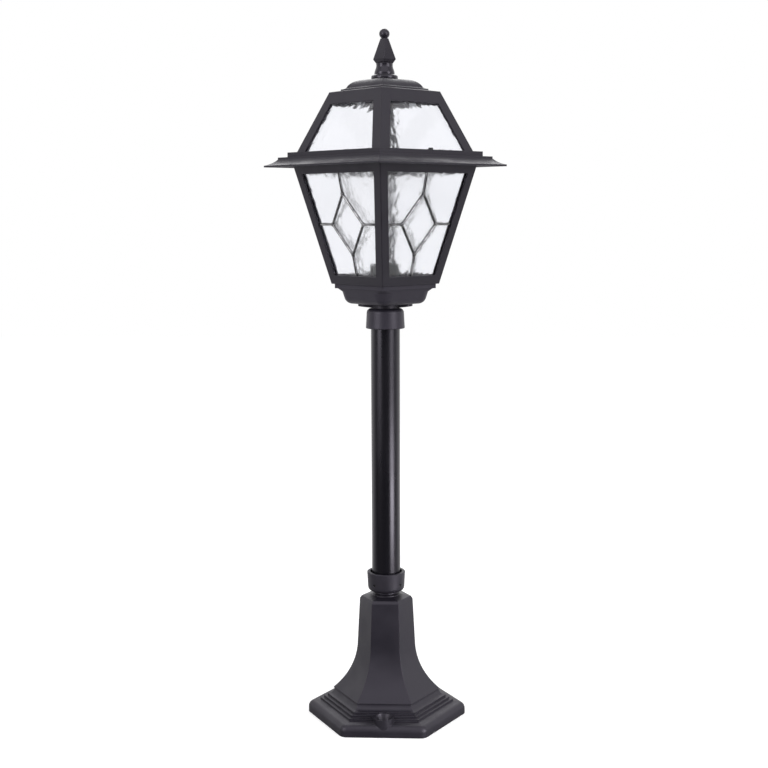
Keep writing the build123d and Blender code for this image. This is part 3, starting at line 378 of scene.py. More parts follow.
COAT_GLOSS: Colour = (0.92, 0.865, 1, 1)
FINISHES: tuple[Finish | GlassFinish, ...] = (
    Finish(
        Slot.CAST_BLACK,
        colour=(0.0095, 0.0083, 0.0128, 1),
        mottle=(0.0118, 0.0104, 0.0155, 1),
        edge_colour=(0.026, 0.024, 0.03, 1),
        specular=0.48,
        specular_tint=COAT_GLOSS,
        edge_round=1.3 * MM,
    ),
    Finish(
        Slot.TUBE_BLACK,
        colour=(0.0034, 0.0032, 0.0048, 1),
        mottle=(0.0044, 0.0042, 0.0062, 1),
        edge_colour=(0.03, 0.028, 0.034, 1),
        roughness=0.3,
        specular=0.48,
        specular_tint=COAT_GLOSS,
        grain_depth=0.012 * MM,
        stretch=Vector((1, 1, 0.2)),
    ),
    Finish(
        Slot.BLACK_SCREWS,
        colour=(0.018, 0.018, 0.02, 1),
        mottle=(0.03, 0.03, 0.033, 1),
        edge_colour=(0.09, 0.09, 0.095, 1),
        metallic=0.6,
        roughness=0.4,
        mottle_size=4 * MM,
        edge_round=0.2 * MM,
    ),
    Finish(
        Slot.STEEL,
        colour=(0.5, 0.51, 0.53, 1),
        mottle=(0.4, 0.41, 0.42, 1),
        edge_colour=(0.6, 0.61, 0.63, 1),
        metallic=1.0,
        roughness=0.34,
        mottle_size=8 * MM,
        edge_round=0.2 * MM,
    ),
    GlassFinish(
        Slot.WATER_GLASS,
        colour=(0.976, 0.979, 1, 1),
        tint=(0.967, 0.974, 1, 1),
    ),
    # The lead's tone swings widely at random: partly its own patchy tone, partly painted reflection for
    # lighter and darker stretches along the strips.
    Finish(
        Slot.LEAD,
        colour=(0.36, 0.355, 0.365, 1),
        mottle=(0.13, 0.128, 0.136, 1),
        edge_colour=(0.28, 0.28, 0.29, 1),
        metallic=1.0,
        roughness=0.2,
        mottle_size=9 * MM,
        edge_round=0.2 * MM,
        grain_depth=0.03 * MM,
    ),
    Finish(
        Slot.HOLDER_PLASTIC,
        colour=(0.015, 0.015, 0.016, 1),
        mottle=(0.022, 0.022, 0.024, 1),
        edge_colour=(0.05, 0.05, 0.052, 1),
        roughness=0.35,
        mottle_size=14 * MM,
        edge_round=0.4 * MM,
    ),
    Finish(
        Slot.BRASS,
        colour=(0.72, 0.5, 0.2, 1),
        mottle=(0.5, 0.33, 0.13, 1),
        edge_colour=(0.85, 0.65, 0.3, 1),
        metallic=1.0,
        roughness=0.28,
        mottle_size=7 * MM,
        edge_round=0.15 * MM,
    ),
    Finish(
        Slot.GASKET_RUBBER,
        colour=(0.012, 0.012, 0.012, 1),
        mottle=(0.018, 0.018, 0.018, 1),
        edge_colour=(0.03, 0.03, 0.03, 1),
        roughness=0.75,
        specular=0.3,
        edge_round=0.3 * MM,
    ),
    Finish(
        Slot.TERMINAL_PLASTIC,
        colour=(0.72, 0.71, 0.66, 1),
        mottle=(0.64, 0.63, 0.58, 1),
        edge_colour=(0.8, 0.79, 0.75, 1),
        roughness=0.45,
        mottle_size=12 * MM,
        edge_round=0.3 * MM,
    ),
)

# What differs in the coat of some castings, by CAD node: the base's gloss, the bowl's roughness, and a
# lighter colour on the bowl and the upper collar that is painted light, standing in for light that falls
# on them.
GRADES: dict[str, dict[str, Change]] = {
    "base": {"roughness": 0.45, "specular": 0.46},
    "bowl": {
        # Lighter than the cast coat: painted light on the bowl.
        "colour": (0.021, 0.0188, 0.027, 1),
        "mottle": (0.0245, 0.022, 0.031, 1),
        "roughness": 0.62,
    },
    "upper_collar": {
        # Lighter than the cast coat: painted light on the upper collar.
        "colour": (0.02, 0.0178, 0.026, 1),
        "mottle": (0.023, 0.0206, 0.0295, 1),
    },
}
# The sets of panes: how their CAD nodes' names begin, their body, and the range of their roughness.
PANES: tuple[tuple[str, Body, Span], ...] = (
    ("cage_glass", Body.STAND, (0.14, 0.2)),
    ("roof_glass", Body.ROOF, (0.08, 0.13)),
)


class Wardrobe:
    """The lamp's materials, by slot, and the grades that differ from them a little."""

    def __init__(self) -> None:
        """Makes every finish once."""
        self.materials = {finish.slot: finish.build() for finish in FINISHES}
        self.grades: dict[tuple[Slot, str], bpy.types.Material] = {}

    def graded(self, slot: Slot, grade: str, **changes: Change) -> bpy.types.Material:
        """A grade of a slot's finish that differs in a few values, made once.

        Args:
            slot: the slot of the finish.
            grade: the grade's name.
            changes: the values that differ, by field.

        Returns:
            The grade's material.
        """
        if (slot, grade) not in self.grades:
            finish = next(finish for finish in FINISHES if finish.slot is slot)
            self.grades[slot, grade] = replace(finish, grade=grade, **changes).build()
        return self.grades[slot, grade]

    def dress_frame(self) -> None:
        """Gives each CAD node the material of its slot, or its own grade of it."""
        for part in frame["record"]["subparts"]:
            node = part["node"]
            slot = Slot(part["material_slot"])
            material = self.materials[slot]
            if node in GRADES:
                material = self.graded(slot, node, **GRADES[node])
            mesh = frame["nodes"][node].data
            mesh.materials.clear()
            mesh.materials.append(material)
            LOG.info("dressed %s as %s", node, slot.value)

    def hand_over(
        self,
        piece: bpy.types.Object,
        slot: Slot,
        body: Body,
        *nodes: str,
        finish: bpy.types.Material | None = None,
    ) -> bpy.types.Object:
        """Dresses a piece, sets it on its body and hides the CAD nodes that it stands for.

        Args:
            piece: the finished mesh object.
            slot: the slot that its finish comes from.
            body: the body that it rides on.
            nodes: the CAD nodes that it stands for.
            finish: its own grade of the slot's finish, where it has one.

        Returns:
            The same piece.
        """
        piece.data.materials.clear()
        piece.data.materials.append(finish or self.materials[slot])
        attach(piece, body.value)
        if nodes:
            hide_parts(*nodes)
        return piece


def to_object(work: bmesh.types.BMesh, name: str) -> bpy.types.Object:
    """Turns a working mesh into an object in the scene.

    Args:
        work: the working mesh, which is freed.
        name: the object's name.

    Returns:
        The new object, at the origin.
    """
    mesh = bpy.data.meshes.new(name)
    work.to_mesh(mesh)
    work.free()
    piece = bpy.data.objects.new(name, mesh)
    bpy.context.scene.collection.objects.link(piece)
    return piece


def circle(radius: float) -> Reach:
    """A round outline, as its reach by the angle."""
    return lambda angle: radius


def square(half: float) -> Reach:
    """A square outline with a corner to the front, as its reach by the angle."""
    return lambda angle: math.sqrt(2) * half / (abs(math.cos(angle)) + abs(math.sin(angle)))


def ring_round(work: bmesh.types.BMesh, steps: int, level: float, reach: Reach) -> Ring:
    """Adds a ring of points round the upright axis.

    Args:
        work: the working mesh.
        steps: how many points the ring has.
        level: the ring's height.
        reach: its distance from the axis by the angle.

    Returns:
        The ring's points.
    """
    ring = []
    for step in range(steps):
        angle = FULL_TURN * step / steps
        far = reach(angle)
        ring.append(work.verts.new((far * math.cos(angle), far * math.sin(angle), level)))
    return ring


def band(work: bmesh.types.BMesh, first: Ring, second: Ring, smooth: bool) -> list[bmesh.types.BMFace]:
    """Joins two rings of as many points with a closed band of faces.

    Args:
        work: the working mesh.
        first: the ring to start from.
        second: the ring to go to.
        smooth: whether the faces are shaded smooth.

    Returns:
        The band's faces, in the order of the points.
    """
    faces = []
    for index, start in enumerate(first):
        after = (index + 1) % len(first)
        face = work.faces.new((start, first[after], second[after], second[index]))
        face.smooth = smooth
        faces.append(face)
    return faces


def turned(work: bmesh.types.BMesh, outlines: list[Outline], steps: int, smooth: bool) -> None:
    """Adds a closed skin through outlines round the upright axis.

    Args:
        work: the working mesh.
        outlines: each outline's reach and its level, in the order of the skin.
        steps: how many points each outline has.
        smooth: whether the skin is shaded smooth.
    """
    rings = [ring_round(work, steps, level, reach) for reach, level in outlines]
    for first, second in zip(rings, rings[1:]):
        band(work, first, second, smooth)
    work.faces.new(rings[0][::-1])
    work.faces.new(rings[-1])


def places_along(node: str, *axes: Vector) -> list[tuple[float, ...]]:
    """The points of a CAD node, each measured along these axes."""
    return [tuple(v.co.dot(axis) for axis in axes) for v in frame["nodes"][node].data.vertices]


@dataclass(frozen=True)
class PaneSeat:
    """Where a pane stands: its own axes and its outline on the outer face."""

    along: Vector
    rise: Vector
    out: Vector
    face: float
    thickness: float
    low: float
    high: float
    low_half: float
    high_half: float

    @classmethod
    def read(cls, node: str, side: Side) -> Self:
        """Reads a seat from a CAD pane.

        Args:
            node: the CAD node's name.
            side: the side that it stands on.

        Returns:
            The pane's seat.
        """
        polygons = frame["nodes"][node].data.polygons
        flats = [flat for flat in polygons if flat.normal.dot(side.outward) > 0]
        out = max(flats, key=lambda flat: flat.area).normal.copy()
        rise = out.cross(side.along)
        places = places_along(node, side.along, rise, out)
        face = max(depth for _, _, depth in places)
        thickness = face - min(depth for _, _, depth in places)
        outer = [(across, height) for across, height, depth in places if depth > face - thickness / 2]
        low = min(height for _, height in outer)
        high = max(height for _, height in outer)
        middle = (low + high) / 2
        return cls(
            along=side.along,
            rise=rise,
            out=out,
            face=face,
            thickness=thickness,
            low=low,
            high=high,
            low_half=max(across for across, height in outer if height < middle),
            high_half=max(across for across, height in outer if height > middle),
        )

    def at(self, across: float, height: float, depth: float) -> Vector:
        """The point at that place on the pane, that far below its outer face."""
        return self.along * across + self.rise * height + self.out * (self.face - depth)

    def half_at(self, height: float) -> float:
        """Half the pane's width at a height."""
        share = (height - self.low) / (self.high - self.low)
        return self.low_half + (self.high_half - self.low_half) * share


@dataclass(frozen=True)
class Ripple:
    """The swell of poured water glass, calmer towards the middle of a pane."""

    broad: float = 9.5 * MM
    fine: float = 5.5 * MM
    fine_share: float = 0.5
    depth: float = 0.85 * MM
    edge: float = 4.5 * MM
    calm: float = 0.3
    calm_range: Span = (9 * MM, 26 * MM)

    def hollow(self, place: Vector, salt: float, to_edge: float) -> float:
        """How far the surface lies below its face.

        Args:
            place: the point on the face.
            salt: what sets one face's swell apart from another's.
            to_edge: the distance to the pane's edge.

        Returns:
            The hollow's depth in metres.
        """
        shift = Vector((salt, -salt, salt))
        swell = noise.noise(place / self.broad + shift)
        swell += self.fine_share * noise.noise(place / self.fine + shift)
        share = min(1.0, to_edge / self.edge)
        start, end = self.calm_range
        inside = min(1.0, max(0.0, (to_edge - start) / (end - start)))
        level = (1 - self.calm * inside) / (1 + self.fine_share)
        return self.depth * share * share * (1 + swell * level) / 2


@dataclass
class WaterPane:
    """One wavy pane that stands for a flat CAD pane."""

    node: str
    side: Side
    body: Body
    ripple: Ripple
    roughness: Span
    step: float = 1.4 * MM

    def build(self, wardrobe: Wardrobe) -> bpy.types.Object:
        """Builds the pane as a closed slab with two rippled faces.

        Args:
            wardrobe: the lamp's materials.

        Returns:
            The pane.
        """
        seat = PaneSeat.read(self.node, self.side)
        work = bmesh.new()
        outer = self._sheet(work, seat, inner=False)
        inner = self._sheet(work, seat, inner=True)
        for face in band(work, self._border(inner), self._border(outer), smooth=False):
            for edge in face.edges:
                edge.smooth = False
        pane = to_object(work, f"water_{self.node}")
        # The renderer would give clear glass the shadow of a solid sheet.
        pane.visible_shadow = False
        glass = wardrobe.graded(Slot.WATER_GLASS, self.body.value, roughness=self.roughness)
        return wardrobe.hand_over(pane, Slot.WATER_GLASS, self.body, self.node, finish=glass)

    def _sheet(self, work: bmesh.types.BMesh, seat: PaneSeat, inner: bool) -> list[Ring]:
        """Adds one rippled face.

        Args:
            work: the working mesh.
            seat: where the pane stands.
            inner: whether it is the face on the lantern's inside.

        Returns:
            The rows of the face's points, from the bottom up.
        """
        columns = round(2 * max(seat.low_half, seat.high_half) / self.step)
        rows = round((seat.high - seat.low) / self.step)
        salt = self.side.value + (seat.thickness / MM if inner else 0)
        grid = []
        for row in range(rows + 1):
            height = seat.low + (seat.high - seat.low) * row / rows
            half = seat.half_at(height)
            line = []
            for column in range(columns + 1):
                across = half * (2 * column / columns - 1)
                to_edge = min(half - abs(across), height - seat.low, seat.high - height)
                hollow = self.ripple.hollow(seat.at(across, height, 0), salt, to_edge)
                depth = seat.thickness - hollow if inner else hollow
                line.append(work.verts.new(seat.at(across, height, depth)))
            grid.append(line)
        for below, above in zip(grid, grid[1:]):
            for column in range(columns):
                corners = [below[column], below[column + 1], above[column + 1], above[column]]
                face = work.faces.new(corners[::-1] if inner else corners)
                face.smooth = True
        return grid

    @staticmethod
    def _border(grid: list[Ring]) -> Ring:
        """The points round the edge of a face.

        Args:
            grid: the rows of the face's points, from the bottom up.

        Returns:
            The points, once round from the start of the first row.
        """
        right = [line[-1] for line in grid[:-1]]
        left = [line[0] for line in grid[:0:-1]]
        return grid[0][:-1] + right + grid[-1][:0:-1] + left


@dataclass(frozen=True)
class LeadPattern:
    """The lead lines of one pane, read from its CAD strips."""

    seat: PaneSeat
    middle: float
    half_width: float
    half_height: float
    reach: float
    low: float
    high: float
    strip: float
    thickness: float

    @classmethod
    def read(cls, side: Side) -> Self:
        """Reads the pattern of one side.

        Args:
            side: the lantern's side.

        Returns:
            The side's pattern.
        """
        seat = PaneSeat.read(f"cage_glass_{side.label}", side)
        places = places_along(f"cage_came_{side.label}", seat.along, seat.rise, seat.out)
        heights = [height for _, height, _ in places]
        thickness = max(depth for _, _, depth in places) - seat.face
        reach = max(across for across, _, _ in places)
        ends = [height for across, height, _ in places if across > reach - thickness]
        strip = max(ends) - min(ends)
        middle = (max(ends) + min(ends)) / 2
        near = strip * NEAR_SHARE
        spots = [(abs(across), abs(height - middle)) for across, height, _ in places]
        inner_width = min(across for across, height in spots if height < near and across > strip)
        inner_height = min(height for across, height in spots if across < near and height > strip)
        slope = inner_height / inner_width
        half_width = inner_width + strip / 2 * math.hypot(1, slope) / slope
        return cls(
            seat=seat,
            middle=middle,
            half_width=half_width,
            half_height=half_width * slope,
            reach=reach,
            low=min(heights),
            high=max(heights),
            strip=strip,
            thickness=thickness,
        )

    def corners(self) -> list[Span]:
        """The diamond's corners, from the top clockwise."""
        return [
            (0, self.middle + self.half_height),
            (self.half_width, self.middle),
            (0, self.middle - self.half_height),
            (-self.half_width, self.middle),
        ]

    def lines(self) -> list[tuple[Span, Span]]:
        """The strips' centre lines, from start to end.

        Returns:
            The diamond's four sides and its four legs.
        """
        corners = self.corners()
        ends = [(0, self.high), (self.reach, self.middle), (0, self.low), (-self.reach, self.middle)]
        sides = list(zip(corners, corners[1:] + corners[:1]))
        return sides + list(zip(corners, ends))


@dataclass
class LeadStrips:
    """Half-round lead strips on both faces of one pane."""

    side: Side
    arc_steps: int = 8
    step: float = 4 * MM
    wobble: float = 0.25 * MM
    wobble_size: float = 16 * MM
    width_share: float = 0.8

    def build(self, wardrobe: Wardrobe) -> bpy.types.Object:
        """Builds the strips of one pane as one mesh.

        Args:
            wardrobe: the lamp's materials.

        Returns:
            The strips.
        """
        pattern = LeadPattern.read(self.side)
        work = bmesh.new()
        for inner in (False, True):
            for start, end in pattern.lines():
                self._strip(work, pattern, (Vector(start), Vector(end)), inner)
        bmesh.ops.recalc_face_normals(work, faces=work.faces)
        strips = to_object(work, f"lead_{self.side.label}")
        return wardrobe.hand_over(strips, Slot.LEAD, Body.STAND, f"cage_came_{self.side.label}")

    def _strip(
        self, work: bmesh.types.BMesh, pattern: LeadPattern, line: tuple[Vector, Vector], inner: bool
    ) -> None:
        """Adds one half-round strip that drifts a little from its line.

        Args:
            work: the working mesh.
            pattern: the lead lines that it belongs to.
            line: the ends of its centre line, across and up the pane.
            inner: whether it lies on the pane's inner face.
        """
        start, end = line
        seat = pattern.seat
        course = end - start
        aside = course.normalized().orthogonal()
        half = pattern.strip * self.width_share / 2
        count = round(course.length / self.step)
        rings = []
        for index in range(count + 1):
            middle = start + course * index / count
            drift = self.wobble * noise.noise(seat.at(middle.x, middle.y, 0) / self.wobble_size)
            ring = []
            for step in range(self.arc_steps + 1):
                angle = HALF_TURN * step / self.arc_steps
                place = middle + aside * (drift + half * math.cos(angle))
                lift = pattern.thickness * math.sin(angle)
                depth = seat.thickness + lift if inner else -lift
                ring.append(work.verts.new(seat.at(place.x, place.y, depth)))
            rings.append(ring)
        for first, second in zip(rings, rings[1:]):
            *_, underside = band(work, first, second, smooth=True)
            underside.smooth = False
        for ring in (rings[0], rings[-1]):
            for edge in work.faces.new(ring).edges:
                edge.smooth = False


@dataclass(frozen=True)
class Stand:
    """A point that carries a repeated shape, and the direction that the shape faces."""

    place: Vector
    facing: Vector


class Scatter:
    """A node tree that sets one shape on many points, each turned by its own aim."""

    AIM = "aim"
    SEED = 7

    def __init__(self, name: str) -> None:
        """Builds the tree with named inputs.

        Args:
            name: the tree's name.
        """
        self.tree = bpy.data.node_groups.new(name, "GeometryNodeTree")
        sockets = self.tree.interface
        sockets.new_socket("Points", in_out="INPUT", socket_type="NodeSocketGeometry")
        self.inputs = {
            label: sockets.new_socket(label, in_out="INPUT", socket_type=kind).identifier
            for label, kind in (
                ("Shape", "NodeSocketObject"),
                ("Twist", "NodeSocketFloat"),
                ("Seed", "NodeSocketInt"),
                ("Finish", "NodeSocketMaterial"),
            )
        }
        sockets.new_socket("Mesh", in_out="OUTPUT", socket_type="NodeSocketGeometry")
        self._link()

    def _link(self) -> None:
        """Links the tree from points to turned copies, and on to real meshes with their finish."""
        bench = NodeBench(self.tree)
        given = bench.add("NodeGroupInput")
        finish = bench.out(given, "Finish")
        points = bench.take("Points", "GeometryNodeMeshToPoints", {"Mesh": bench.out(given, "Points")})
        shape = bench.take("Geometry", "GeometryNodeObjectInfo", {"Object": bench.out(given, "Shape")})
        aims = bench.take(
            "Attribute", "GeometryNodeInputNamedAttribute", {"Name": self.AIM}, data_type="FLOAT_VECTOR"
        )
        aim = bench.take("Rotation", "FunctionNodeEulerToRotation", {"Euler": aims})
        copies = bench.take(
            "Instances",
            "GeometryNodeInstanceOnPoints",
            {"Points": points, "Instance": shape, "Rotation": aim},
        )
        chance = bench.take(
            "Value",
            "FunctionNodeRandomValue",
            {"Max": bench.out(given, "Twist"), "Seed": bench.out(given, "Seed")},
            data_type="FLOAT",
        )
        angles = bench.take("Vector", "ShaderNodeCombineXYZ", {"Z": chance})
        twist = bench.take("Rotation", "FunctionNodeEulerToRotation", {"Euler": angles})
        twisted = bench.take(
            "Instances", "GeometryNodeRotateInstances", {"Instances": copies, "Rotation": twist}
        )
        real = bench.take("Geometry", "GeometryNodeRealizeInstances", {"Geometry": twisted})
        dressed = bench.take("Geometry", "GeometryNodeSetMaterial", {"Geometry": real, "Material": finish})
        bench.add("NodeGroupOutput", {"Mesh": dressed})

    def realise(
        self,
        name: str,
        shape: bpy.types.Object,
        stands: list[Stand],
        finish: bpy.types.Material,
        twist: float,
    ) -> bpy.types.Object:
        """Sets a shape on its stands and turns the result into a plain mesh.

        Args:
            name: the new piece's name.
            shape: the object to repeat, which is removed afterwards.
            stands: where the copies go.
            finish: the material of the copies.
            twist: the widest random turn of a copy about its own axis.

        Returns:
            The piece, one mesh with no modifier.
        """
        points = bpy.data.meshes.new(f"{name}_points")
        points.from_pydata([stand.place for stand in stands], [], [])
        aims = points.attributes.new(self.AIM, "FLOAT_VECTOR", "POINT")
        for item, stand in zip(aims.data, stands):
            item.vector = stand.facing.to_track_quat("Z", "Y").to_euler()
        piece = bpy.data.objects.new(name, points)
        bpy.context.scene.collection.objects.link(piece)
        modifier = piece.modifiers.new("scatter", "NODES")
        modifier.node_group = self.tree
        values = {"Shape": shape, "Twist": twist, "Seed": self.SEED, "Finish": finish}
        for label, value in values.items():
            modifier[self.inputs[label]] = value
        ready = piece.evaluated_get(bpy.context.evaluated_depsgraph_get())
        mesh = bpy.data.meshes.new_from_object(ready)
        piece.modifiers.clear()
        piece.data = mesh
        mesh.name = name
        bpy.data.meshes.remove(points)
        bpy.data.objects.remove(shape)
        return piece


@dataclass
class SolderJoints:
    """Flat beads of solder on the corners of the lead diamonds."""

    radius_share: float = 0.8
    lift_share: float = 1.25
    roundness: int = 2

    def build(self, wardrobe: Wardrobe, scatter: Scatter) -> bpy.types.Object:
        """Sets a bead on each corner, on both faces of each pane.

        Args:
            wardrobe: the lamp's materials.
            scatter: the tree that repeats the bead.

        Returns:
            The beads as one mesh.
        """
        patterns = [LeadPattern.read(side) for side in Side]
        stands = []
        for pattern in patterns:
            seat = pattern.seat
            for across, height in pattern.corners():
                stands.append(Stand(seat.at(across, height, 0), seat.out))
                stands.append(Stand(seat.at(across, height, seat.thickness), -seat.out))
        wide = patterns[0].strip * self.radius_share
        lift = patterns[0].thickness * self.lift_share
        bead = bmesh.new()
        bmesh.ops.create_icosphere(bead, subdivisions=self.roundness, radius=1)
        bmesh.ops.scale(bead, vec=(wide, wide, lift), verts=bead.verts)
        for face in bead.faces:
            face.smooth = True
        shape = to_object(bead, "solder_bead")
        joints = scatter.realise("lead_solder", shape, stands, wardrobe.materials[Slot.LEAD], FULL_TURN)
        return wardrobe.hand_over(joints, Slot.LEAD, Body.STAND)


def islands(node: str) -> list[list[Vector]]:
    """Splits a CAD node into its loose solids.

    Args:
        node: the CAD node's name.

    Returns:
        The points of each solid.
    """
    work = bmesh.new()
    work.from_mesh(frame["nodes"][node].data)
    bmesh.ops.remove_doubles(work, verts=work.verts, dist=MERGE)
    found = []
    seen = set()
    for seed in work.verts:
        if seed in seen:
            continue
        group = []
        queue = [seed]
        seen.add(seed)
        while queue:
            vertex = queue.pop()
            group.append(vertex.co.copy())
            for edge in vertex.link_edges:
                other = edge.other_vert(vertex)
                if other not in seen:
                    seen.add(other)
                    queue.append(other)
        found.append(group)
    work.free()
    return found


@dataclass(frozen=True)
class ScrewSeat:
    """The sizes and the place of one screw, read from its CAD solid."""

    stand: Stand
    head: float
    shank: float
    head_height: float
    length: float

    @classmethod
    def read(cls, points: list[Vector], facing: Facing) -> Self:
        """Reads one screw.

        Args:
            points: the points of its CAD solid.
            facing: the way that its head faces.

        Returns:
            The screw's seat, with its stand at the middle of the head's top.
        """
        low = Vector(map(min, zip(*points)))
        high = Vector(map(max, zip(*points)))
        middle = (low + high) / 2
        level = Vector((middle.x, middle.y, 0))
        axis = {Facing.UP: UP, Facing.DOWN: -UP, Facing.OUT: level.normalized()}[facing]
        places = []
        for point in points:
            along = (point - middle).dot(axis)
            places.append((along, (point - middle - axis * along).length))
        top = max(along for along, _ in places)
        tip = min(along for along, _ in places)
        head = max(radius for _, radius in places)
        shank = max(radius for along, radius in places if along < tip + (top - tip) * NEAR_SHARE)
        wide = [along for along, radius in places if radius > (head + shank) / 2]
        head_low = min(wide) if head > shank else tip
        return cls(Stand(middle + axis * top, axis), head, shank, top - head_low, top - tip)


@dataclass
class ScrewSet:
    """A row of like screws with a drive recess, standing for one CAD node."""

    node: str
    slot: Slot
    body: Body
    facing: Facing
    recess: Recess
    steps: int = 36
    crown_share: float = 0.35
    crown_run: float = 0.86
    hex_sides: int = 6
    recess_share: float = 0.52
    recess_taper: float = 0.82
    slot_share: float = 0.2
    tip_taper: float = 0.8
    depth_share: float = 0.6

    def build(self, wardrobe: Wardrobe, scatter: Scatter) -> bpy.types.Object:
        """Builds the screws as one mesh.

        Args:
            wardrobe: the lamp's materials.
            scatter: the tree that repeats the screw.

        Returns:
            The screws.
        """
        seats = [ScrewSeat.read(points, self.facing) for points in islands(self.node)]
        stands = [seat.stand for seat in seats]
        finish = wardrobe.materials[self.slot]
        screws = scatter.realise(f"{self.node}_cut", self._shape(seats[0]), stands, finish, FULL_TURN)
        return wardrobe.hand_over(screws, self.slot, self.body, self.node)

    def _bar(self, angle: float, size: float) -> float:
        """How far a straight slot of that half length reaches at an angle."""
        ahead = size / max(abs(math.cos(angle)), SLIVER)
        return min(ahead, size * self.slot_share / max(abs(math.sin(angle)), SLIVER))

    def _recess(self, size: float) -> Reach:
        """The outline of the drive recess.

        Args:
            size: its half width across flats, or half its length.

        Returns:
            The outline's reach by the angle.
        """
        if self.recess is Recess.HEX:
            sector = FULL_TURN / self.hex_sides
            return lambda angle: size / math.cos((angle + sector / 2) % sector - sector / 2)
        if self.recess is Recess.SLOT:
            return lambda angle: self._bar(angle, size)
        return lambda angle: max(self._bar(angle, size), self._bar(angle + QUARTER_TURN, size))

    def _shape(self, seat: ScrewSeat) -> bpy.types.Object:
        """Builds one screw with its head's top at the origin, facing +Z.

        Args:
            seat: the screw's sizes.

        Returns:
            The screw.
        """
        crown = seat.head_height * self.crown_share
        size = seat.head * self.recess_share
        floor = -max(seat.head_height, seat.head) * self.depth_share
        tip = seat.length - seat.shank * (1 - self.tip_taper)
        profile = [(seat.shank * self.tip_taper, -seat.length), (seat.shank, -tip)]
        if seat.head > seat.shank:
            profile += [(seat.shank, -seat.head_height), (seat.head, -seat.head_height)]
        profile += [(seat.head, -crown), (seat.head * self.crown_run, 0)]
        outlines = [(circle(radius), level) for radius, level in profile]
        outlines += [(self._recess(size), 0), (self._recess(size * self.recess_taper), floor)]
        work = bmesh.new()
        turned(work, outlines, self.steps, smooth=False)
        return to_object(work, f"{self.node}_shape")


@dataclass
class ThreadedShell:
    """The lampholder's rolled screw shell."""

    node: str = "lampholder_shell"
    pitch: float = 3.6 * MM
    depth: float = 0.6 * MM
    sheet: float = 0.4 * MM
    steps: int = 60
    rise_step: float = 0.4 * MM

    def build(self, wardrobe: Wardrobe) -> bpy.types.Object:
        """Builds the shell as a closed tube with a rolled thread.

        Args:
            wardrobe: the lamp's materials.

        Returns:
            The shell.
        """
        low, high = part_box(self.node)
        radius = (high.x - low.x) / 2
        rows = round((high.z - low.z) / self.rise_step)
        levels = [low.z + (high.z - low.z) * row / rows for row in range(rows + 1)]
        work = bmesh.new()
        outer, inner = (
            [ring_round(work, self.steps, level, self._thread(crest, level)) for level in levels]
            for crest in (radius, radius - self.sheet)
        )
        chain = outer + inner[::-1]
        for first, second in zip(chain, chain[1:] + chain[:1]):
            band(work, first, second, smooth=True)
        shell = to_object(work, "threaded_shell")
        return wardrobe.hand_over(shell, Slot.BRASS, Body.STAND, self.node)

    def _thread(self, crest: float, level: float) -> Reach:
        """The rolled wall's outline at a level, as its reach by the angle."""
        start = FULL_TURN * level / self.pitch
        return lambda angle: crest - self.depth * (1 - math.cos(angle - start)) / 2


@dataclass(frozen=True)
class Bend:
    """A quarter of an ellipse in a turned outline, about a centre at a radius and a rise."""

    radius: float
    rise: float
    reach: float
    height: float
    start: float
    steps: int = 6

    def points(self) -> list[Span]:
        """The bend's points as radius and rise, from its start through a quarter turn."""
        turns = [self.start + QUARTER_TURN * step / self.steps for step in range(self.steps + 1)]
        return [
            (self.radius + self.reach * math.cos(turn), self.rise + self.height * math.sin(turn))
            for turn in turns
        ]


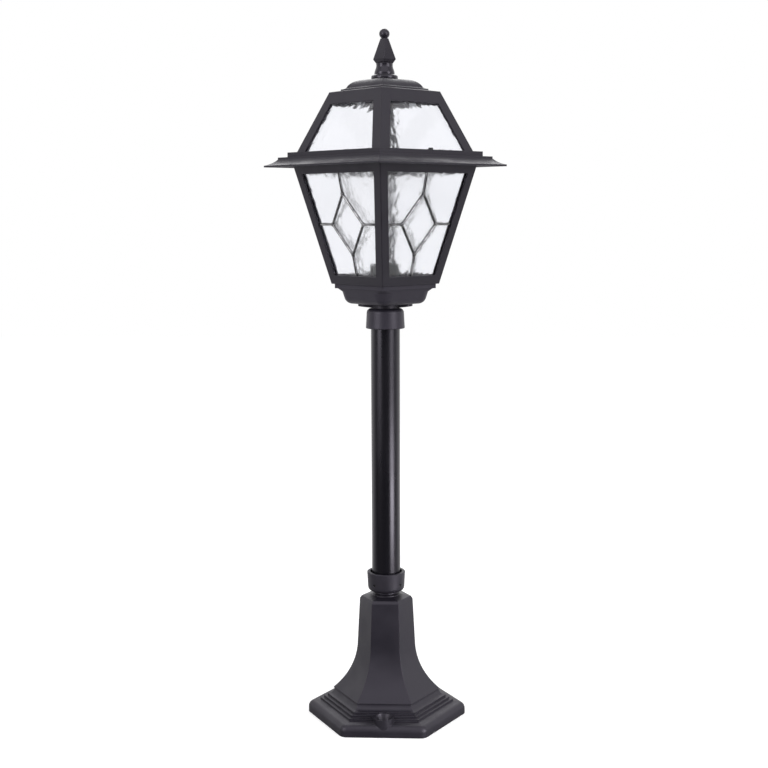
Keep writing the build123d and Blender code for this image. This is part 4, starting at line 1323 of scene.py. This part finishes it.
@dataclass
class FinialCasting:
    """The finial with a beaded flange and a waisted neck, standing for the plainer CAD one."""

    node: str = "finial"
    steps: int = 64
    seat_share: float = 0.9
    stud_end: float = 1 * MM
    bead: tuple[Bend, Bend] = (
        Bend(radius=17.6 * MM, rise=1.8 * MM, reach=1.3 * MM, height=1.8 * MM, start=-QUARTER_TURN),
        Bend(radius=14.5 * MM, rise=3.6 * MM, reach=4.4 * MM, height=2.9 * MM, start=0),
    )
    groove: Span = (14.2 * MM, 7.1 * MM)
    neck_radius: float = 14.4 * MM
    neck_foot: float = 8 * MM
    neck_top: float = 22.2 * MM
    neck_steps: int = 8
    waist_radius: float = 11.65 * MM
    waist_rise: float = 19.5 * MM
    spire: tuple[Span, ...] = (
        (8.4 * MM, 22.4 * MM),
        (11.3 * MM, 27.6 * MM),
        (11.3 * MM, 28.4 * MM),
        (4 * MM, 56.8 * MM),
    )
    ball_radius: float = 7.4 * MM
    ball_steps: int = 14
    gloss: float = 0.3
    sharp_turn: float = math.radians(32)

    def build(self, wardrobe: Wardrobe) -> bpy.types.Object:
        """Builds the finial and its stud as one closed skin.

        Args:
            wardrobe: the lamp's materials.

        Returns:
            The finial.
        """
        work = bmesh.new()
        turned(work, self._outlines(), self.steps, smooth=True)
        work.normal_update()
        for edge in work.edges:
            edge.smooth = edge.calc_face_angle() < self.sharp_turn
        finial = to_object(work, "finial_casting")
        gloss = wardrobe.graded(Slot.CAST_BLACK, "gloss", roughness=self.gloss)
        return wardrobe.hand_over(finial, Slot.CAST_BLACK, Body.ROOF, self.node, finish=gloss)

    def _outlines(self) -> list[Outline]:
        """The outlines from the stud's end to the ball's top.

        Returns:
            Each outline's reach by the angle, and its level.
        """
        low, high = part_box(self.node)
        places = [(math.hypot(v.co.x, v.co.y), v.co.z) for v in frame["nodes"][self.node].data.vertices]
        widest = max(radius for radius, _ in places)
        seat = min(level for radius, level in places if radius > widest * self.seat_share)
        stud = max(radius for radius, level in places if level < low.z + self.stud_end)
        outlines = [(circle(stud), low.z), (circle(stud), seat)]
        outlines += [(circle(radius), seat + rise) for radius, rise in self._turning()]
        outlines += [(square(half), seat + rise) for half, rise in self.spire]
        _, spire_top = self.spire[-1]
        middle = high.z - self.ball_radius
        start = math.acos((middle - seat - spire_top) / self.ball_radius)
        for step in range(self.ball_steps):
            turn = start + (HALF_TURN - start) * step / self.ball_steps
            level = middle - self.ball_radius * math.cos(turn)
            outlines.append((circle(self.ball_radius * math.sin(turn)), level))
        return outlines

    def _turning(self) -> list[Span]:
        """The turned part: a bead of two bends, a groove, and a neck that swings in to its waist.

        Returns:
            The radius and the rise of each point, from the bottom up.
        """
        outline = [point for bend in self.bead for point in bend.points()]
        outline.append(self.groove)
        for step in range(self.neck_steps + 1):
            rise = self.neck_foot + (self.neck_top - self.neck_foot) * step / self.neck_steps
            swing = math.cos(HALF_TURN * (rise - self.neck_foot) / (self.waist_rise - self.neck_foot))
            radius = self.waist_radius + (self.neck_radius - self.waist_radius) * (1 + swing) / 2
            outline.append((radius, rise))
        return outline


@dataclass(frozen=True)
class Softbox:
    """One soft lamp of the studio, with its angles in degrees, lengths in metres and power in watts."""

    name: str
    azimuth: float
    distance: float
    height: float
    size: Span
    power: float
    aim: float
    spread: float = 180

    def build(self) -> None:
        """Hangs the lamp and turns it to its aim on the object's axis."""
        turn = math.radians(self.azimuth)
        place = Vector((math.sin(turn) * self.distance, -math.cos(turn) * self.distance, self.height))
        lamp = bpy.data.lights.new(self.name, "AREA")
        lamp.shape = "RECTANGLE"
        lamp.size, lamp.size_y = self.size
        lamp.energy = self.power
        lamp.spread = math.radians(self.spread)
        box = bpy.data.objects.new(self.name, lamp)
        # The lamp lights the object but isn't seen, straight or through the glass.
        box.visible_camera = False
        box.visible_transmission = False
        course = (UP * self.aim - place).to_track_quat("-Z", "Y")
        box.matrix_world = Matrix.Translation(place) @ course.to_matrix().to_4x4()
        bpy.context.scene.collection.objects.link(box)


@dataclass
class Studio:
    """A plain white studio with soft lamps on both sides, above and behind."""

    fill: float = 0.25
    front_gloss: float = 0.03
    backdrop_range: Span = (-0.6, 0.3)
    ceiling_gloss: float = 0.8
    ceiling_range: Span = (0.0, 0.13)
    floor_gloss: Span = (-0.35, 0.9)
    floor_half: float = 6.0
    floor_glow: Span = (0.55, 0.8)
    floor_fade: Span = (0.3, 1.2)
    floor_colour: Colour = (0.8, 0.8, 0.8, 1)
    floor_mottle: Colour = (0.82, 0.82, 0.82, 1)
    # The floor's colour in front as seen in gloss only: painted shade in the object's reflections.
    floor_dark: Colour = (0.1, 0.1, 0.1, 1)
    floor_grain: float = 0.4
    floor_detail: float = 1.0
    floor_roughness: float = 0.9
    floor_drop: float = 0.2 * MM
    softboxes: tuple[Softbox, ...] = (
        Softbox(
            "softbox_left", azimuth=-46, distance=2.2, height=1.15, size=(1.1, 1.7), power=24, aim=1.15
        ),
        Softbox(
            "softbox_right", azimuth=54, distance=2.2, height=1.15, size=(1.1, 1.7), power=25, aim=1.15
        ),
        Softbox(
            "softbox_low",
            azimuth=54,
            distance=1.0,
            height=0.14,
            size=(0.6, 0.26),
            power=0.9,
            aim=0.13,
            spread=60,
        ),
        Softbox(
            "softbox_top", azimuth=0, distance=1.0, height=2.2, size=(2.2, 1.8), power=9, aim=0.5
        ),
        Softbox(
            "softbox_back", azimuth=180, distance=1.6, height=2.0, size=(1.8, 0.9), power=16, aim=0.8
        ),
    )

    def build(self) -> None:
        """Builds the world, the floor and the lamps."""
        self._world()
        self._floor()
        for softbox in self.softboxes:
            softbox.build()

    @staticmethod
    def _either(bench: NodeBench, *rays: Ray) -> Socket:
        """1 for rays of any of these kinds, otherwise 0.

        Args:
            bench: the bench of the tree that asks.
            rays: the kinds of rays.

        Returns:
            The answer as a value.
        """
        path = bench.add("ShaderNodeLightPath")
        answer, *others = (bench.out(path, ray.value) for ray in rays)
        for other in others:
            answer = bench.reckon(Reckoning.LARGER, answer, other)
        return answer

    def _world(self) -> None:
        """A white world: its backdrop and ceiling show in gloss, and a lower fill lights the rest."""
        world = bpy.data.worlds.new("studio")
        bpy.context.scene.world = world
        world.use_nodes = True
        world.node_tree.nodes.clear()
        bench = NodeBench(world.node_tree)
        sight = bench.take("Generated", "ShaderNodeTexCoord")
        course = bench.add("ShaderNodeSeparateXYZ", {"Vector": sight})
        backdrop = bench.spread(bench.out(course, "Y"), self.backdrop_range, (self.front_gloss, 1))
        ceiling = bench.spread(bench.out(course, "Z"), self.ceiling_range, (0, self.ceiling_gloss))
        room = bench.reckon(Reckoning.LARGER, backdrop, ceiling)
        mirrored = bench.reckon(Reckoning.LARGER, room, self._either(bench, Ray.THROUGH))
        plain = bench.spread(self._either(bench, Ray.CAMERA, Ray.THROUGH), UNIT, (self.fill, 1))
        strength = bench.blend(self._either(bench, Ray.GLOSSY), plain, mirrored, Mix.VALUE)
        sky = bench.take("Background", "ShaderNodeBackground", {"Color": WHITE, "Strength": strength})
        bench.add("ShaderNodeOutputWorld", {"Surface": sky})

    def _floor(self) -> None:
        """A pale floor that keeps the object's shadow, and that shows dark in front in the object's gloss
        as painted shade.
        """
        work = bmesh.new()
        bmesh.ops.create_grid(work, x_segments=1, y_segments=1, size=self.floor_half)
        bmesh.ops.translate(work, verts=work.verts, vec=-UP * self.floor_drop)
        floor = to_object(work, "floor")
        material, bench = new_material("floor_finish")
        grain = bench.pattern(self.floor_grain, self.floor_detail)
        place = bench.take("Object", "ShaderNodeTexCoord")
        reach = bench.spread(bench.reckon(Reckoning.LENGTH, place), self.floor_fade, self.floor_glow)
        # Seen in gloss, the floor in front is dark and does not glow: painted shade in the reflections,
        # while other rays see it pale.
        back = bench.take("Y", "ShaderNodeSeparateXYZ", {"Vector": place})
        behind = bench.spread(back, self.floor_gloss, (self.front_gloss, 1))
        mirrored = self._either(bench, Ray.GLOSSY)
        glossy = bench.reckon(Reckoning.PRODUCT, mirrored, behind)
        seen = bench.reckon(Reckoning.LARGER, glossy, self._either(bench, Ray.CAMERA, Ray.THROUGH))
        pale = bench.blend(grain, self.floor_colour, self.floor_mottle)
        shaded_reflection = bench.blend(behind, self.floor_dark, pale)
        bench.surface(
            {
                "Base Color": bench.blend(mirrored, pale, shaded_reflection),
                "Roughness": self.floor_roughness,
                "Emission Color": WHITE,
                "Emission Strength": bench.reckon(Reckoning.PRODUCT, seen, reach),
                "Specular IOR Level": 0,
            }
        )
        floor.data.materials.append(material)


@dataclass
class PhotoCamera:
    """The camera, set as the photo was taken: angles in degrees, the lens in the photo's pixels."""

    distance: float = 1.9319
    height: float = 0.7467
    yaw: float = 2.7
    pitch: float = 7.372
    roll: float = 0.19
    focal_pixels: float = 1336.6
    picture: float = 768
    axis_pixel: float = 385.55
    sensor: float = 36.0

    def build(self) -> None:
        """Places the camera and makes it the scene's own."""
        yaw, pitch, roll = (math.radians(value) for value in (self.yaw, self.pitch, self.roll))
        level = Vector((-math.sin(yaw), math.cos(yaw), 0))
        ahead = level * math.cos(pitch) - UP * math.sin(pitch)
        right = level.cross(UP)
        above = right.cross(ahead)
        pan = math.atan((self.axis_pixel - self.picture / 2) / self.focal_pixels)
        aim = ahead * math.cos(pan) - right * math.sin(pan)
        right = right * math.cos(pan) + ahead * math.sin(pan)
        tilted = right * math.cos(roll) - above * math.sin(roll)
        over = right * math.sin(roll) + above * math.cos(roll)
        camera = bpy.data.cameras.new("camera")
        camera.sensor_width = self.sensor
        camera.lens = self.sensor * self.focal_pixels / self.picture
        eye = bpy.data.objects.new("camera", camera)
        place = UP * self.height - level * self.distance
        turn = Matrix((tilted, over, -aim)).transposed()
        eye.matrix_world = Matrix.Translation(place) @ turn.to_4x4()
        bpy.context.scene.collection.objects.link(eye)
        bpy.context.scene.camera = eye


SCREW_SETS: tuple[ScrewSet, ...] = (
    ScrewSet("lower_grub_screws", Slot.BLACK_SCREWS, Body.STAND, Facing.OUT, Recess.HEX),
    ScrewSet("upper_grub_screws", Slot.BLACK_SCREWS, Body.STAND, Facing.OUT, Recess.HEX),
    ScrewSet("roof_screws", Slot.BLACK_SCREWS, Body.ROOF, Facing.UP, Recess.CROSS),
    ScrewSet("plate_screws", Slot.BLACK_SCREWS, Body.STAND, Facing.DOWN, Recess.CROSS),
    ScrewSet("cage_screws", Slot.STEEL, Body.STAND, Facing.UP, Recess.CROSS),
    ScrewSet("strap_screws", Slot.STEEL, Body.STAND, Facing.UP, Recess.CROSS),
    ScrewSet("clip_screws", Slot.STEEL, Body.ROOF, Facing.DOWN, Recess.SLOT),
    ScrewSet("bracket_screws", Slot.STEEL, Body.STAND, Facing.DOWN, Recess.CROSS),
    ScrewSet("earth_screw", Slot.BRASS, Body.STAND, Facing.DOWN, Recess.SLOT),
    ScrewSet("terminal_screws", Slot.BRASS, Body.STAND, Facing.DOWN, Recess.SLOT),
)


def report(piece: bpy.types.Object) -> None:
    """Reports a finished piece."""
    LOG.info("built %s, %d faces", piece.name, len(piece.data.polygons))


def main() -> None:
    """Builds the lamp's looks in order and reports each piece."""
    logging.basicConfig(level=logging.INFO, format="%(name)s: %(message)s")
    wardrobe = Wardrobe()
    wardrobe.dress_frame()
    ripple = Ripple()
    for side in Side:
        report(LeadStrips(side).build(wardrobe))
        for panes, body, roughness in PANES:
            report(WaterPane(f"{panes}_{side.label}", side, body, ripple, roughness).build(wardrobe))
    scatter = Scatter("scatter")
    report(SolderJoints().build(wardrobe, scatter))
    for screws in SCREW_SETS:
        report(screws.build(wardrobe, scatter))
    report(ThreadedShell().build(wardrobe))
    report(FinialCasting().build(wardrobe))
    Studio().build()
    LOG.info("built the studio")
    PhotoCamera().build()
    LOG.info("placed the camera")
    bpy.context.scene.view_settings.view_transform = "Standard"


if __name__ == "__main__":
    main()
